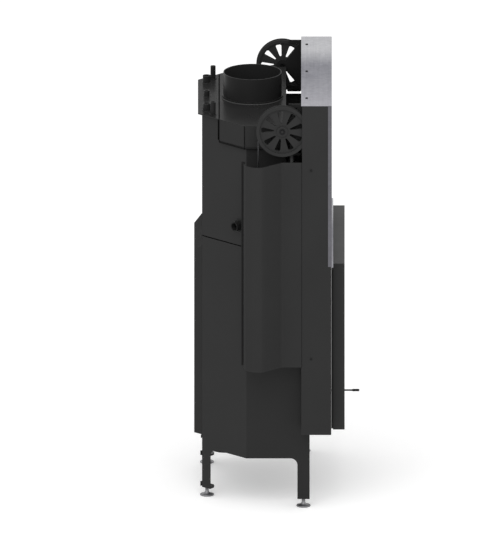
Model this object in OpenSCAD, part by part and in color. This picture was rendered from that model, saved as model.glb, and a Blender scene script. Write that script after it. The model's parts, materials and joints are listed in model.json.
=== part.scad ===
// A water-jacketed steel fireplace insert with a lift-up glass door that hangs on two cables.
// The front faces -Y, X runs across the door and +Z is up. The origin is on the floor, under the
// middle of the bounding box. Modules draw in (x, depth from the rear, height) and place() turns
// depth into Y. What exists on both sides is drawn on the +X side and mirrored.

/* [Body] */
// Width over the parallel side walls
body_w = 712; // [680:2:730]
// Width of the flat rear wall
rear_w = 408; // [380:2:430]
// Depth from the rear wall to the front plate
body_depth = 369; // [360:1:380]
// Angle of the bevelled walls to the rear wall
bevel_deg = 45; // [43:1:47]
// Thickness of the outer sheets
sheet_t = 3; // [2:0.5:4]
// Height of the seam between the lower sheets and the water jacket
seam_z = 926; // [905:1:960]
// Open height of that seam
seam_h = 4; // [2:0.5:8]
// Height of the smoke dome's lower edge
dome_z = 1283; // [1270:1:1300]
// Height of the smoke dome
dome_h = 80; // [60:1:100]
// Distance that the dome stands proud of the walls
dome_lip = 14; // [8:1:18]
// Depth of the water jacket's top in front of the rear wall
jacket_top_depth = 58; // [52:1:64]
// Depth of the smoke dome, rear to front
dome_depth = 229; // [215:1:240]
// Depth of the grooves where the dome's sheets meet
dome_seam = 1.8; // [1:0.1:2]
// Width of the seam between the dome and the jacket's top
seam_w = 5; // [3:0.5:6]
// Distance over which that seam is open at the sides
seam_strip = 30; // [20:1:50]
// Depth of the air duct on the rear wall
duct_depth = 27; // [15:1:40]
// Width of the air duct at the wall
duct_w = 400; // [300:2:400]
// Height of the air duct's lower edge
duct_z = 215; // [200:1:260]
// Height of the air duct's upper edge
duct_top = 890; // [850:5:1060]
// Gap between neighbouring pieces
gap = 0.3; // [0.2:0.05:0.5]

/* [Legs] */
// Height of the legs, from their ends to the body's lower edge
leg_h = 145; // [100:1:200]
// Width of each leg
leg_w = 42; // [34:1:56]
// Radius in the corner between leg and body
leg_corner_r = 24; // [8:1:40]
// Height that the levelling feet hold the legs
foot_h = 29; // [24:1:40]
// Radius of a foot's disc
foot_r = 24.5; // [18:0.5:30]
// Radius of a foot's threaded stem
stem_r = 5.5; // [4:0.5:6]
// Length of the stem above the leg's plate
stem_up = 30; // [15:1:40]
// Distance of a foot's stem from the leg's outer face
foot_inset = 15; // [12:1:20]
// Thickness of the plate at a leg's end
leg_plate_t = 6; // [4:1:10]

/* [Housing] */
// Distance that the door housing stands out beyond each side wall
side_margin = 77; // [74:0.5:79]
// Depth of the door housing
housing_depth = 105; // [100:1:110]
// Distance from the front plate to the housing's front
housing_reach = 76; // [74:1:90]
// Height of the housing's lower edge
housing_z = 279; // [265:1:282]
// Height of the top of the housing
housing_top = 1453; // [1448:1:1500]
// Thickness of the housing's side panels
panel_t = 2; // [1.5:0.5:3]
// Thickness of the bright front cover
cover_t = 1.5; // [1:0.5:2]
// Height of the bright cover's lower edge
cover_z = 877; // [874:1:900]
// Width of the bright cover's side flanges
cover_flange = 13; // [8:1:20]
// Distance of the cover screws from the housing's rear edge
cover_screw_in = 19; // [15:1:22]
// Distance of the panel screws from the housing's rear edge
screw_back = 34; // [30:1:40]
// Height of the lower panel screw above the housing's lower edge
screw_low = 271; // [250:1:290]
// Distance of the upper panel screw below the panel's upper edge
screw_high = 229; // [210:1:250]
// Width of the sloping lip under the bright cover
cover_lip = 5; // [3:1:7]

/* [Front frame] */
// Width of the front frame beyond the body's
frame_over = 15; // [8:1:28]
// Height of the front frame
frame_h = 592; // [585:1:592]
// Depth of the front frame
frame_depth = 40; // [25:1:60]
// Gap behind the front frame
frame_gap = 4; // [3:0.5:6]
// Width of the front frame's face at the sides
frame_side = 23.5; // [21.5:0.5:25.5]
// Height of the front frame's face above and below the opening
frame_bar = 30; // [28:1:32]
// Thickness of the front frame's sheet
frame_t = 3; // [2:0.5:4]

/* [Door] */
// Distance that the door lifts
door_travel = 510; // [400:5:515]
// Gap between the door leaf and the opening
leaf_gap = 3; // [2.5:0.5:4]
// Width of the door leaf's rails
leaf_rail = 24; // [18:1:30]
// Thickness of the door leaf
leaf_t = 26; // [24:1:30]
// Thickness of the glass
glass_t = 4; // [3:0.5:5]
// Thickness of the sliding frame's plate
carriage_t = 4; // [3:1:8]
// Thickness of the rope seal
seal_t = 9; // [8:0.5:11]
// Radius of the pins that the leaf turns on
hinge_pin_r = 4; // [3:0.5:5]
// Height of the cable clamps above the opening's lower edge
clamp_up = 290; // [250:5:300]
// Radius of the handle's rod
rod_r = 2.8; // [2:0.1:4]
// Radius of the handle's grip
grip_r = 4.3; // [3.5:0.1:7]
// Length of the handle's grip
grip_len = 27; // [20:1:60]
// Distance that the handle reaches out of the front frame
handle_out = 51; // [30:1:80]

/* [Wheels] */
// Radius of the cable wheels
wheel_r = 89; // [84:1:90]
// Thickness of the cable wheels
wheel_t = 24; // [18:1:24]
// Height of the wheels' axis
wheel_z = 1359; // [1350:1:1360]
// Depth of the wheels' axis from the housing's rear edge
wheel_back = 65; // [60:1:70]
// Distance of the wheels' middle from the housing's side
wheel_inset = 17.5; // [16.5:0.5:18.5]
// Number of slots in a wheel
wheel_slots = 9; // [6:1:12]
// Radius at which the slots begin
slot_r0 = 28; // [24:1:34]
// Radius at which the slots end
slot_r1 = 72; // [60:1:74]
// Width of a slot at its inner end
slot_w0 = 7; // [4:0.5:9]
// Width of a slot at its outer end
slot_w1 = 20; // [10:1:24]
// Width of the wheels' rim
rim_w = 11; // [9:1:14]
// Depth of the recess between rim and hub
web_recess = 6; // [1:0.5:7]
// Radius of the wheels' hub
hub_r = 18; // [15:1:22]
// Radius of the axle
axle_r = 5; // [4:0.5:7]
// Radius of the bearing in the hub
bearing_r = 11; // [9:0.5:13]
// Depth of the cable groove
groove_h = 9; // [7:0.5:10]
// Radius of the cable
cable_r = 2; // [1.5:0.25:2.5]
// Thickness of the wheel brackets
bracket_t = 3; // [2:0.5:4]
// Length of the strap inside the left casing
strap_down = 90; // [60:1:120]
// Distance of the brackets' lower edge below the wheels' axis
bracket_low = 83; // [80:1:90]
// Distance of the brackets' upper flange above the wheels' axis
bracket_high = 92; // [91:0.5:93]

/* [Counterweights] */
// Width of a counterweight, across the body
weight_w = 64; // [50:1:70]
// Depth of a counterweight
weight_d = 84; // [70:1:84]
// Height of a counterweight
weight_h = 150; // [120:1:160]
// Height of the casing's lower edge
casing_z = 520; // [500:1:530]
// Height of the casing's upper edge
casing_top = 1250; // [1235:1:1255]
// Distance that the casing bulges beyond the side panel
casing_bulge = 66; // [60:1:75]
// Depth of the casing's flat flange
casing_flange = 66; // [60:1:70]

/* [Flue and sockets] */
// Outer radius of the flue collar
flue_r = 100; // [75:1:105]
// Height of the flue collar
flue_h = 88; // [60:1:100]
// Thickness of the flue collar
flue_t = 3; // [2:0.5:5]
// Depth of the flue's axis behind the dome's front edge
flue_back = 115; // [108:1:118]
// Outer radius of the flow and return sockets
flow_r = 13.5; // [11:0.5:16]
// Height of the flow and return sockets
flow_h = 26; // [18:1:32]
// Distance of the flow sockets from the centre plane
flow_x = 173; // [140:1:178]
// Outer radius of the vent socket
vent_r = 10; // [8:0.5:12]
// Height of the vent socket
vent_h = 22; // [12:1:24]
// Outer radius of the cooling loop's pipe
loop_r = 9; // [6:0.5:9]
// Height of the cooling loop's pipe ends
loop_h = 45; // [30:1:60]
// Distance of the cooling loop's pipe ends from the centre plane
loop_x = 224; // [216:1:225]
// Outer radius of the sensor sockets
sensor_r = 16; // [11:0.5:17]
// Length of the sensor sockets
sensor_len = 25; // [18:1:32]
// Height of the sensor sockets
sensor_z = 998; // [980:1:1100]
// Radius of the combustion air spigot
spigot_r = 62.5; // [50:0.5:65]
// Distance of the spigot's axis from the rear wall
spigot_back = 85; // [80:1:90]
// Length of the combustion air spigot
spigot_h = 94; // [92:1:95]

/* [Firebox] */
// Height of the floor's upper face
floor_z = 300; // [296:1:304]
// Gap between the baffle and the smoke shelf
baffle_gap = 48; // [40:1:80]
// Thickness of the lining
lining_t = 30; // [22:1:34]
// Distance of the inner shell from the outer walls
shell_inset = 18; // [14:1:22]
// Thickness of the grate
grate_t = 18; // [14:1:22]
// Width of the grate
grate_w = 220; // [160:2:240]
// Depth of the grate
grate_d = 190; // [150:2:194]
// Number of the grate's slots
grate_slots = 9; // [6:1:11]
// Height of the ash pan
pan_h = 42; // [30:1:48]
// Distance that the grate is lifted out
grate_travel = 120; // [80:5:150]
// Thickness of the baffle plate
baffle_t = 25; // [20:1:30]
// Distance of the baffle from the rear lining's face
baffle_rear = 75; // [60:1:90]
// Distance of the baffle from the lining's front
baffle_front = 60; // [40:1:90]
// Height of the log guard above the floor
guard_h = 48; // [30:1:50]
// Distance that the air rod is pulled
rod_travel = 26; // [22:1:27]
// Number of heat exchanger tubes in a row
tube_cols = 7; // [3:2:7]
// Radius of a heat exchanger tube
tube_r = 24; // [18:1:26]

/* [Hidden] */
$fn = 64;

// Finishes
paint = [0.21, 0.21, 0.22];
dark = [0.13, 0.13, 0.14];
bright = [0.72, 0.73, 0.76];
brick = [0.78, 0.72, 0.60];
iron = [0.25, 0.25, 0.26];

// Places across the width
housing_w = body_w + 2 * side_margin;
wheel_x = housing_w / 2 - wheel_inset;
frame_w = body_w + frame_over;
opening_w = frame_w - 2 * frame_side;

// Places along the depth
rear_d = duct_depth;
front_d = rear_d + body_depth;
housing_front = front_d + housing_reach;
housing_rear = housing_front - housing_depth;
frame_back = housing_front + frame_gap;
frame_front = frame_back + frame_depth;
depth_all = frame_front + handle_out;
dome_front = rear_d + jacket_top_depth + dome_depth + 1;
dome_rear = dome_front - dome_depth;
flue_d = dome_front - flue_back;
wheel_d = housing_rear - wheel_back;

// Heights
belly_z = foot_h + leg_h;
dome_top = dome_z + dome_h;
frame_z = housing_z;
opening_h = frame_h - 2 * frame_bar;
opening_z = frame_z + frame_bar;
leaf_z = opening_z + leaf_gap;
leaf_h = opening_h - 2 * leaf_gap;
leaf_w = opening_w - 2 * leaf_gap;
base_z = belly_z + 30;
base_t = 4;
lower_top = seam_z - seam_h / 2;
baffle_top = lower_top - baffle_gap;
jacket_z = seam_z + seam_h / 2;

// Housing walls
panel_x = housing_w / 2 - cover_t - gap;
panel_front = housing_front - cover_t - gap;
panel_top = housing_top - cover_t - gap;
panel_inner = panel_x - panel_t;
header_h = 12;
header_flange = 22;
post_top = panel_top - header_h - gap;
post_x0 = wheel_x - wheel_t / 2 - 19;
post_x1 = wheel_x - wheel_t / 2 - 1;
post_t = 2;
post_front = front_d + 2;

// Door, in depth: seal, sliding frame, leaf
plate_t = 6;
plate_front = front_d + gap + plate_t;
carriage_d = plate_front + gap + seal_t;
carriage_front = carriage_d + carriage_t;
leaf_d = carriage_front + 2;
leaf_front = leaf_d + leaf_t;
pivot_x = -leaf_w / 2 + 8;
pivot_d = leaf_front - 8;
pivot_lug = 6;
door_hole_w = leaf_w - 2 * leaf_rail;
door_hole_z0 = leaf_z + leaf_rail;
door_hole_z1 = leaf_z + leaf_h - leaf_rail;
carriage_w = leaf_w + 50;
run_gap = 0.4;
fit = 0.08;
handle_z = leaf_z + rod_r + 1;
carriage_z0 = leaf_z - 13;
carriage_z1 = leaf_z + leaf_h + 13;
pin_low = leaf_z - 1 - pivot_lug;
pin_high = leaf_z + leaf_h + 1 + pivot_lug;
pin_len = pivot_lug + 11;
glass_d = leaf_d + 8;
glass_seat = 6;

// Cable run
pitch_r = wheel_r - groove_h + cable_r + gap;
cable_front_d = wheel_d + pitch_r;
cable_rear_d = wheel_d - pitch_r;
clamp_z = opening_z + clamp_up;
clamp_h = 40;
weight_top = casing_top - 53;
eye_h = 14;
wheel_turn_left = 6;
wheel_turn_right = 11;

// Small fixings
bend_r = 3;
screw_r = 4.5;
screw_h = 1.8;

// Vectors and outlines
function unit(v) = v / norm(v);
function side_normal(a, b) = let (u = unit(b - a)) [u[1], -u[0]];

// Point i of path p, moved t to the right of the path and mitred at the bend
function shifted(p, i, t) =
    let (before = side_normal(p[max(i - 1, 0)], p[max(i, 1)]))
    let (last = len(p) - 1)
    let (after = side_normal(p[min(i, last - 1)], p[min(i + 1, last)]))
    p[i] + t * (before + after) / (1 + before * after);

// Closed outline of a sheet of thickness t that follows path p on the right-hand side
function sheet_outline(p, t) =
    concat(p, [for (i = [len(p) - 1:-1:0]) shifted(p, i, t)]);

// Arc of radius r that rounds the corner b between a and c
function bend_arc(a, b, c, r, steps) =
    let (u = unit(a - b), v = unit(c - b), half = acos(u * v) / 2)
    let (centre = b + unit(u + v) * r / sin(half))
    let (from = b + u * r / tan(half) - centre, to = b + v * r / tan(half) - centre)
    let (turn = atan2(from[0] * to[1] - from[1] * to[0], from * to))
    let (start = atan2(from[1], from[0]))
    [for (k = [0:steps]) centre + r * [cos(start + turn * k / steps), sin(start + turn * k / steps)]];

// Path p with every inner corner rounded; radii has one radius per inner corner
function rounded(p, radii, steps = 4) =
    concat([p[0]],
        [for (i = [1:len(p) - 2]) each bend_arc(p[i - 1], p[i], p[i + 1], radii[i - 1], steps)],
        [p[len(p) - 1]]);

// The body's plan, moved inwards by inset: side wall, 45 degree bevel and rear wall
side_corner_d = rear_d + (body_w - rear_w) / 2 * tan(bevel_deg);
function side_corner(inset) =
    [body_w / 2 - inset, side_corner_d + inset * tan((90 - bevel_deg) / 2)];
function rear_corner(inset) =
    [rear_w / 2 - inset * tan(bevel_deg / 2), rear_d + inset];
function bevel_x(inset, d) =
    rear_corner(inset)[0] + (d - rear_corner(inset)[1]) / tan(bevel_deg);
function flip(p) = [for (i = [len(p) - 1:-1:0]) [-p[i][0], p[i][1]]];
function half_plan(inset, front) =
    [[body_w / 2 - inset, front], side_corner(inset), rear_corner(inset)];
function full_plan(inset, front) =
    concat(half_plan(inset, front), flip(half_plan(inset, front)));

// Turns (x, depth, z) into the object's own frame
module place() {
    translate([0, depth_all / 2, 0])
        mirror([0, 1, 0])
            children();
}

module side(right) {
    mirror([right ? 0 : 1, 0, 0])
        children();
}

module both_sides() {
    side(true)
        children();
    side(false)
        children();
}

module slab(points, z0, z1) {
    translate([0, 0, z0])
        linear_extrude(z1 - z0)
            polygon(points);
}

// A (depth, z) outline drawn out along X between x0 and x1
module along_x(x0, x1) {
    translate([x0, 0, 0])
        rotate([90, 0, 90])
            linear_extrude(x1 - x0)
                children();
}

module block(low, high) {
    translate(low)
        cube(high - low);
}

module rod_x(r, x0, x1, d, z) {
    translate([x0, d, z])
        rotate([0, 90, 0])
            cylinder(r = r, h = x1 - x0);
}

module rod_d(r, x, d0, d1, z) {
    translate([x, d0, z])
        rotate([-90, 0, 0])
            cylinder(r = r, h = d1 - d0);
}

module tube(outer, inner, h) {
    difference() {
        cylinder(r = outer, h = h);
        translate([0, 0, -1])
            cylinder(r = inner, h = h + 2);
    }
}

// Lower sheets, legs and floor plates

// Cut between the legs, with round corners, in the (depth, z) view
module leg_arch(d0, d1) {
    h = leg_h + foot_h;
    translate([d0, belly_z - h]) {
        translate([leg_corner_r, 0])
            square([d1 - d0 - 2 * leg_corner_r, h]);
        square([d1 - d0, h - leg_corner_r]);
        translate([leg_corner_r, h - leg_corner_r])
            circle(leg_corner_r);
        translate([d1 - d0 - leg_corner_r, h - leg_corner_r])
            circle(leg_corner_r);
    }
}

module side_sheet() {
    rear_leg_d = rear_d + leg_w * sin(bevel_deg);
    difference() {
        slab(sheet_outline(half_plan(0, front_d), sheet_t), foot_h, lower_top);
        along_x(0, body_w)
            leg_arch(rear_leg_d, front_d - leg_w);
    }
}

module rear_sheet() {
    leg_in = rear_w / 2 - leg_w;
    x0 = rear_w / 2 - gap;
    x1 = x0 - sheet_t * tan(bevel_deg);
    color(paint)
        difference() {
            slab([[x0, rear_d], [-x0, rear_d], [-x1, rear_d + sheet_t], [x1, rear_d + sheet_t]], foot_h, lower_top);
            block([-leg_in, rear_d - 1, foot_h - 1], [leg_in, rear_d + sheet_t + 1, belly_z]);
        }
}

shell_front = front_d - sheet_t - gap;
inner_plan = full_plan(sheet_t + gap, shell_front);

module base_plate() {
    color(paint)
        difference() {
            slab(inner_plan, base_z, base_z + base_t);
            translate([0, spigot_d, base_z - 1])
                cylinder(r = spigot_r - 2, h = base_t + 2);
        }
}

// Opening of the firebox, through everything between two depths
module door_hole(grow, d0, d1) {
    block([-door_hole_w / 2 - grow, d0, door_hole_z0 - grow], [door_hole_w / 2 + grow, d1, door_hole_z1 + grow]);
}

// The front sheet closes the body between the side sheets
module front_sheet() {
    x = body_w / 2 - sheet_t - gap;
    color(dark)
        difference() {
            block([-x, front_d - sheet_t, belly_z], [x, front_d, lower_top]);
            door_hole(0, front_d - 2 * sheet_t, front_d + 1);
            rod_d(air_rod_r + fit, air_rod_x, front_d - 2 * sheet_t, front_d + 1, air_rod_z);
        }
}

module front_plate() {
    x = carriage_w / 2 - 1;
    color(dark)
        difference() {
            block([-x, front_d + gap, housing_z + 4 + gap], [x, plate_front, lower_top]);
            door_hole(0, front_d - 1, plate_front + 1);
        }
}

module firebox_shell() {
    color(dark)
        slab(sheet_outline(full_plan(shell_inset, shell_front), sheet_t),
            base_z + base_t + gap, lower_top - gap);
}

throat_w = 420;
throat_d = 130;
throat_back = 60;

module smoke_shelf() {
    color(dark)
        difference() {
            slab(full_plan(shell_inset, shell_front), lower_top, jacket_z);
            block([-throat_w / 2, rear_d + throat_back, lower_top - 1],
                [throat_w / 2, rear_d + throat_back + throat_d, jacket_z + 1]);
        }
}

hearth_inset = shell_inset + sheet_t + gap;
hearth_t = 4;
brick_t = 32;
hearth_top = floor_z - brick_t - gap;
pan_front = front_d - 22;
pan_gap = 8;

module grate_hole(grow, z0, z1) {
    block([-grate_w / 2 - grow, pan_front - grate_d - grow, z0], [grate_w / 2 + grow, pan_front + grow, z1]);
}

module hearth_plate() {
    color(dark)
        difference() {
            slab(full_plan(hearth_inset, shell_front), hearth_top - hearth_t, hearth_top);
            grate_hole(-10, hearth_top - hearth_t - 1, hearth_top + 1);
        }
}

module leg_plates() {
    color(paint)
        both_sides() {
            front_leg_plate();
            rear_leg_plate();
        }
}

foot_front = [body_w / 2 - foot_inset, front_d - leg_w / 2];
foot_rear = rear_corner(0) + [-0.5, foot_inset + 2];

module front_leg_plate() {
    x1 = body_w / 2 - sheet_t - gap;
    difference() {
        block([x1 - 2 * foot_inset - 4, front_d - leg_w, foot_h], [x1, front_d - sheet_t - gap, foot_h + leg_plate_t]);
        translate([foot_front[0], foot_front[1], foot_h - 1])
            cylinder(r = stem_r + fit, h = leg_plate_t + 2);
    }
}

module rear_leg_plate() {
    difference() {
        intersection() {
            slab(inner_plan, foot_h, foot_h + leg_plate_t);
            translate([foot_rear[0], foot_rear[1], foot_h])
                cylinder(r = leg_w * 0.6, h = leg_plate_t);
        }
        translate([foot_rear[0], foot_rear[1], foot_h - 1])
            cylinder(r = stem_r + fit, h = leg_plate_t + 2);
    }
}

// Hexagon bolts on the rear legs and at the base plate
module leg_bolts() {
    x = rear_w / 2 - leg_w / 3;
    color(bright)
        both_sides() {
            leg_bolt(x, foot_h + 9, 8.5);
            leg_bolt(x, base_z + base_t / 2, 6);
        }
}

module leg_bolt(x, z, r) {
    translate([x, rear_d, z])
        rotate([90, 0, 0])
            cylinder(r = r, h = 0.7 * r, $fn = 6);
}

// A levelling foot: disc, hollowed cone, neck and stem
module foot(at) {
    rim_h = 3.5;
    cone_h = 12;
    edge = 1.5;
    neck_r = stem_r + 0.8;
    cone_r = foot_r - edge - neck_r;
    flare = [for (a = [0:15:90]) [neck_r + cone_r * (1 - sin(a)), rim_h + edge + cone_h * (1 - cos(a))]];
    color(bright)
        translate([at[0], at[1], 0])
            rotate_extrude()
                polygon(concat([[0, 0], [foot_r - edge, 0], [foot_r, edge], [foot_r, rim_h]], flare,
                    [[neck_r, rim_h + edge + cone_h + 4], [stem_r, rim_h + edge + cone_h + 4],
                        [stem_r, foot_h + leg_plate_t + stem_up], [0, foot_h + leg_plate_t + stem_up]]));
}

// Water jacket, smoke dome and flue

hood_low = jacket_z + 32;
hood_high = dome_z - 58;
hood_path = [[front_d, jacket_z], [front_d, hood_low], [dome_front, hood_high], [dome_front, dome_z - gap]];
jacket_roof = dome_top - sheet_t;

module water_jacket() {
    profile = [[rear_d - 1, jacket_z], [front_d - gap, jacket_z], [front_d - gap, hood_low], [dome_front - gap, hood_high],
        [dome_front - gap, dome_z - gap], [dome_rear - seam_w, dome_z - gap],
        [dome_rear - seam_w, jacket_roof],
        [rear_d - 1, jacket_roof]];
    color(paint)
        difference() {
            intersection() {
                slab(sheet_outline(full_plan(0, front_d), sheet_t), jacket_z, jacket_roof);
                along_x(-body_w, body_w)
                    polygon(profile);
            }
            both_sides()
                at_sensor()
                    translate([0, 0, -2 * sheet_t])
                        cylinder(r = sensor_r - 3, h = 4 * sheet_t);
        }
}

module jacket_hood() {
    x = body_w / 2 - sheet_t - gap;
    color(dark)
        along_x(-x, x)
            polygon(sheet_outline(hood_path, -sheet_t));
}

// Space inside the hood, as a prism that plates are cut to
module inside_hood() {
    inset = sheet_t + 2 * gap;
    path = [for (i = [0:3]) shifted(hood_path, i, -inset)];
    along_x(-body_w, body_w)
        polygon(concat(path, [[rear_d, dome_z + dome_h], [rear_d, jacket_z]]));
}

tube_plate_t = 4;
tube_up = 80;
tube_low = jacket_z + tube_up;
tube_high = dome_z - 33;
tube_rows = 3;
tube_pitch = 2 * tube_r + 22;

module each_tube() {
    for (row = [0:tube_rows - 1])
        for (col = [0:tube_cols - 1]) {
            x = (col - (tube_cols - 1) / 2) * tube_pitch;
            d = dome_rear + tube_r + 4 + row * tube_pitch;
            if (abs(x) + tube_r + 8 < bevel_x(sheet_t, d - tube_r))
                translate([x, d, 0])
                    children();
        }
}

module tube_plates() {
    color(dark)
        for (z = [tube_low, tube_high])
            difference() {
                intersection() {
                    slab(full_plan(sheet_t + gap, front_d - sheet_t), z, z + tube_plate_t);
                    inside_hood();
                }
                each_tube()
                    translate([0, 0, z - 1])
                        cylinder(r = tube_r + gap, h = tube_plate_t + 2, $fn = 32);
            }
}

module exchanger_tubes() {
    color(dark)
        each_tube()
            translate([0, 0, tube_low - 4])
                tube(tube_r, tube_r - 3, tube_high - tube_low + tube_plate_t + 8, $fn = 32);
}

function dome_plan(inset, front, rear) =
    let (half = [[body_w / 2 - inset, front], side_corner(inset), [bevel_x(inset, rear), rear]])
    concat(half, flip(half));

module dome_box() {
    outer = dome_plan(-dome_lip, dome_front, dome_rear);
    inner = dome_plan(sheet_t - dome_lip, dome_front - sheet_t, dome_rear + sheet_t);
    mouth = dome_plan(sheet_t, dome_front - 2 * sheet_t, dome_rear + 2 * sheet_t);
    color(paint)
        difference() {
            slab(outer, dome_z, dome_top);
            slab(inner, dome_z + sheet_t, dome_top - sheet_t);
            slab(mouth, dome_z - 1, dome_z + 2 * sheet_t);
            translate([0, flue_d, dome_z])
                cylinder(r = flue_r - flue_t, h = 2 * dome_h, $fn = 128);
            both_sides()
                translate([side_corner(-dome_lip)[0], side_corner(-dome_lip)[1], dome_z - 1])
                    cylinder(r = dome_seam, h = dome_h + 2, $fn = 12);
            difference() {
                slab(dome_plan(-dome_lip - 1, dome_front + 1, dome_rear - 1), dome_z + 1, dome_z + 1 + 2 * dome_seam);
                slab(dome_plan(dome_seam - dome_lip, dome_front - dome_seam, dome_rear + dome_seam),
                    dome_z, dome_z + 2 + 2 * dome_seam);
            }
        }
}

flue_bead_r = 4;
flue_bead_h = 7;

module flue_collar() {
    color(dark)
        translate([0, flue_d, dome_top])
            difference() {
                union() {
                    cylinder(r = flue_r, h = flue_h, $fn = 128);
                    cylinder(r = flue_r + flue_bead_r, h = flue_bead_h, $fn = 128);
                }
                translate([0, 0, -1])
                    cylinder(r = flue_r - flue_t, h = flue_h + 2, $fn = 128);
            }
}

socket_wall = 3.5;
flow_d = rear_d + 16;
loop_d = rear_d + 37.8;

module jacket_top() {
    rear = rear_corner(-dome_lip);
    edge = dome_rear - seam_w / 2;
    wall_d = dome_rear - seam_w - sheet_t - gap;
    wall_x = bevel_x(sheet_t + gap, wall_d - sheet_t);
    color(paint) {
        difference() {
            slab([[bevel_x(-dome_lip, edge), edge], rear, [-rear[0], rear[1]], [-bevel_x(-dome_lip, edge), edge]],
                jacket_roof, dome_top);
            both_sides()
                translate([flow_x, flow_d, dome_z])
                    cylinder(r = flow_r - socket_wall, h = 2 * dome_h);
            translate([0, flow_d, dome_z])
                cylinder(r = vent_r - socket_wall, h = 2 * dome_h);
            both_sides()
                translate([loop_x, loop_d, dome_z])
                    cylinder(r = loop_r + gap, h = 2 * dome_h);
        }
        block([-wall_x, wall_d - sheet_t, tube_high + tube_plate_t + gap], [wall_x, wall_d, jacket_roof]);
        block([-wall_x + seam_strip, wall_d - 1, dome_z], [wall_x - seam_strip, dome_rear - gap, jacket_roof + 1]);
    }
}

// Flow and return sockets at the sides and the vent socket in the middle
module water_sockets() {
    color(dark) {
        both_sides()
            translate([flow_x, flow_d, dome_top])
                tube(flow_r, flow_r - socket_wall, flow_h);
        translate([0, flow_d, dome_top])
            tube(vent_r, vent_r - socket_wall, vent_h);
    }
}

// A pipe that goes down through the jacket's top, across and up again
module cooling_loop() {
    bend = 3 * loop_r;
    low = dome_z + 18;
    color(dark) {
        both_sides() {
            translate([loop_x, loop_d, low + bend])
                tube(loop_r, loop_r - 2, dome_top + loop_h - low - bend);
            translate([loop_x, loop_d, dome_top])
                tube(loop_r + 3, loop_r - 1, 2);
            translate([loop_x - bend, loop_d, low + bend])
                rotate([90, 90, 0])
                    rotate_extrude(angle = 90)
                        translate([bend, 0])
                            difference() {
                                circle(loop_r);
                                circle(loop_r - 2);
                            }
        }
        translate([-loop_x + bend, loop_d, low])
            rotate([0, 90, 0])
                tube(loop_r, loop_r - 2, 2 * (loop_x - bend));
    }
}

// Puts a child on the bevelled wall at the sensor's place, +Z pointing out of the wall
sensor_d = rear_d + 0.84 * (side_corner_d - rear_d);
module at_sensor() {
    translate([bevel_x(0, sensor_d), sensor_d, sensor_z])
        rotate([0, 0, bevel_deg - 90])
            rotate([0, 90, 0])
                children();
}

module sensor_sockets() {
    color(dark)
        both_sides()
            at_sensor() {
                tube(sensor_r, sensor_r - 3, sensor_len);
                tube(sensor_r + 6, sensor_r - 3, 3);
            }
}

// The duct is a shallow pan that is open towards the rear wall
module rear_duct() {
    color(paint)
        difference() {
            duct_form(0);
            duct_form(2);
        }
}

module duct_form(t) {
    half = duct_w / 2 - t * sqrt(2);
    mouth = rear_d - gap + (t > 0 ? 1 : 0);
    chamfer = duct_depth - t;
    intersection() {
        slab([[half, mouth], [half - duct_depth + t, t], [-half + duct_depth - t, t], [-half, mouth]],
            duct_z + t, duct_top);
        along_x(-duct_w, duct_w)
            polygon([[mouth, duct_z], [t, duct_z], [t, duct_top - chamfer - 2 * t], [mouth, duct_top - 2 * t]]);
    }
}

// Combustion air: spigot with a stop bead for the hose, flap and pull rod

spigot_d = rear_d + spigot_back;
flap_z = base_z - gap - spigot_h + spigot_r - 2;
spindle_r = 4;
crank_x = spigot_r + 6;
crank_r = rod_travel;
air_rod_r = 4;
air_rod_x = crank_x + 12;
air_rod_z = flap_z + crank_r;

module air_spigot() {
    color(paint)
        translate([0, spigot_d, 0])
            difference() {
                union() {
                    translate([0, 0, base_z - gap - spigot_h])
                        cylinder(r = spigot_r, h = spigot_h);
                    translate([0, 0, base_z - gap - 3])
                        cylinder(r = spigot_r + 5, h = 3);
                    translate([0, 0, flap_z - spindle_r - 7])
                        cylinder(r = spigot_r + 2, h = 3);
                }
                translate([0, 0, base_z - spigot_h - 2])
                    cylinder(r = spigot_r - 2, h = spigot_h + 4);
                rod_x(spindle_r + fit, -2 * spigot_r, 2 * spigot_r, 0, flap_z);
            }
}

module air_flap() {
    color(bright)
        translate([0, spigot_d, 0]) {
            translate([0, 0, flap_z - 1])
                cylinder(r = spigot_r - 2.6, h = 2);
            rod_x(spindle_r, -spigot_r - 3, crank_x + 3, 0, flap_z);
            translate([crank_x, -5, flap_z])
                cube([3, 10, crank_r + 5]);
        }
}

module air_rod() {
    tip = front_d + 30;
    color(bright) {
        rod_d(air_rod_r, air_rod_x, spigot_d, tip, air_rod_z);
        rod_d(2 * air_rod_r, air_rod_x, tip - 1, tip + 14, air_rod_z);
        block([crank_x + 3 + gap, spigot_d, air_rod_z - 8], [air_rod_x - air_rod_r + 1, spigot_d + 12, air_rod_z + 6]);
    }
}

// Firebox: lining, floor, grate, ash pan and baffle

lining_inset = hearth_inset;
lining_front = front_d - 10;

// Side, bevel and rear bricks, each mitred to the next
module wall_lining() {
    outer_side = side_corner(lining_inset);
    inner_side = side_corner(lining_inset + lining_t);
    outer_rear = rear_corner(lining_inset);
    inner_rear = rear_corner(lining_inset + lining_t);
    side_joint = [0, -gap];
    rear_joint = [gap, 0];
    color(brick) {
        both_sides() {
            lining_brick([[outer_side[0], lining_front], outer_side, inner_side, [inner_side[0], lining_front]]);
            lining_brick([outer_side + side_joint, inner_side + side_joint, inner_rear + rear_joint,
                outer_rear + rear_joint]);
        }
        lining_brick([outer_rear, [-outer_rear[0], outer_rear[1]], [-inner_rear[0], inner_rear[1]], inner_rear]);
    }
}

module lining_brick(outline) {
    slab(outline, floor_z + gap, baffle_top - baffle_t - gap);
}

module floor_bricks() {
    color(brick)
        difference() {
            slab(full_plan(lining_inset, shell_front), hearth_top + gap, floor_z);
            grate_hole(1, hearth_top - 1, floor_z + 1);
            block([-0.5, 0, hearth_top - 1], [0.5, pan_front - grate_d, floor_z + 1]);
        }
}

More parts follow.
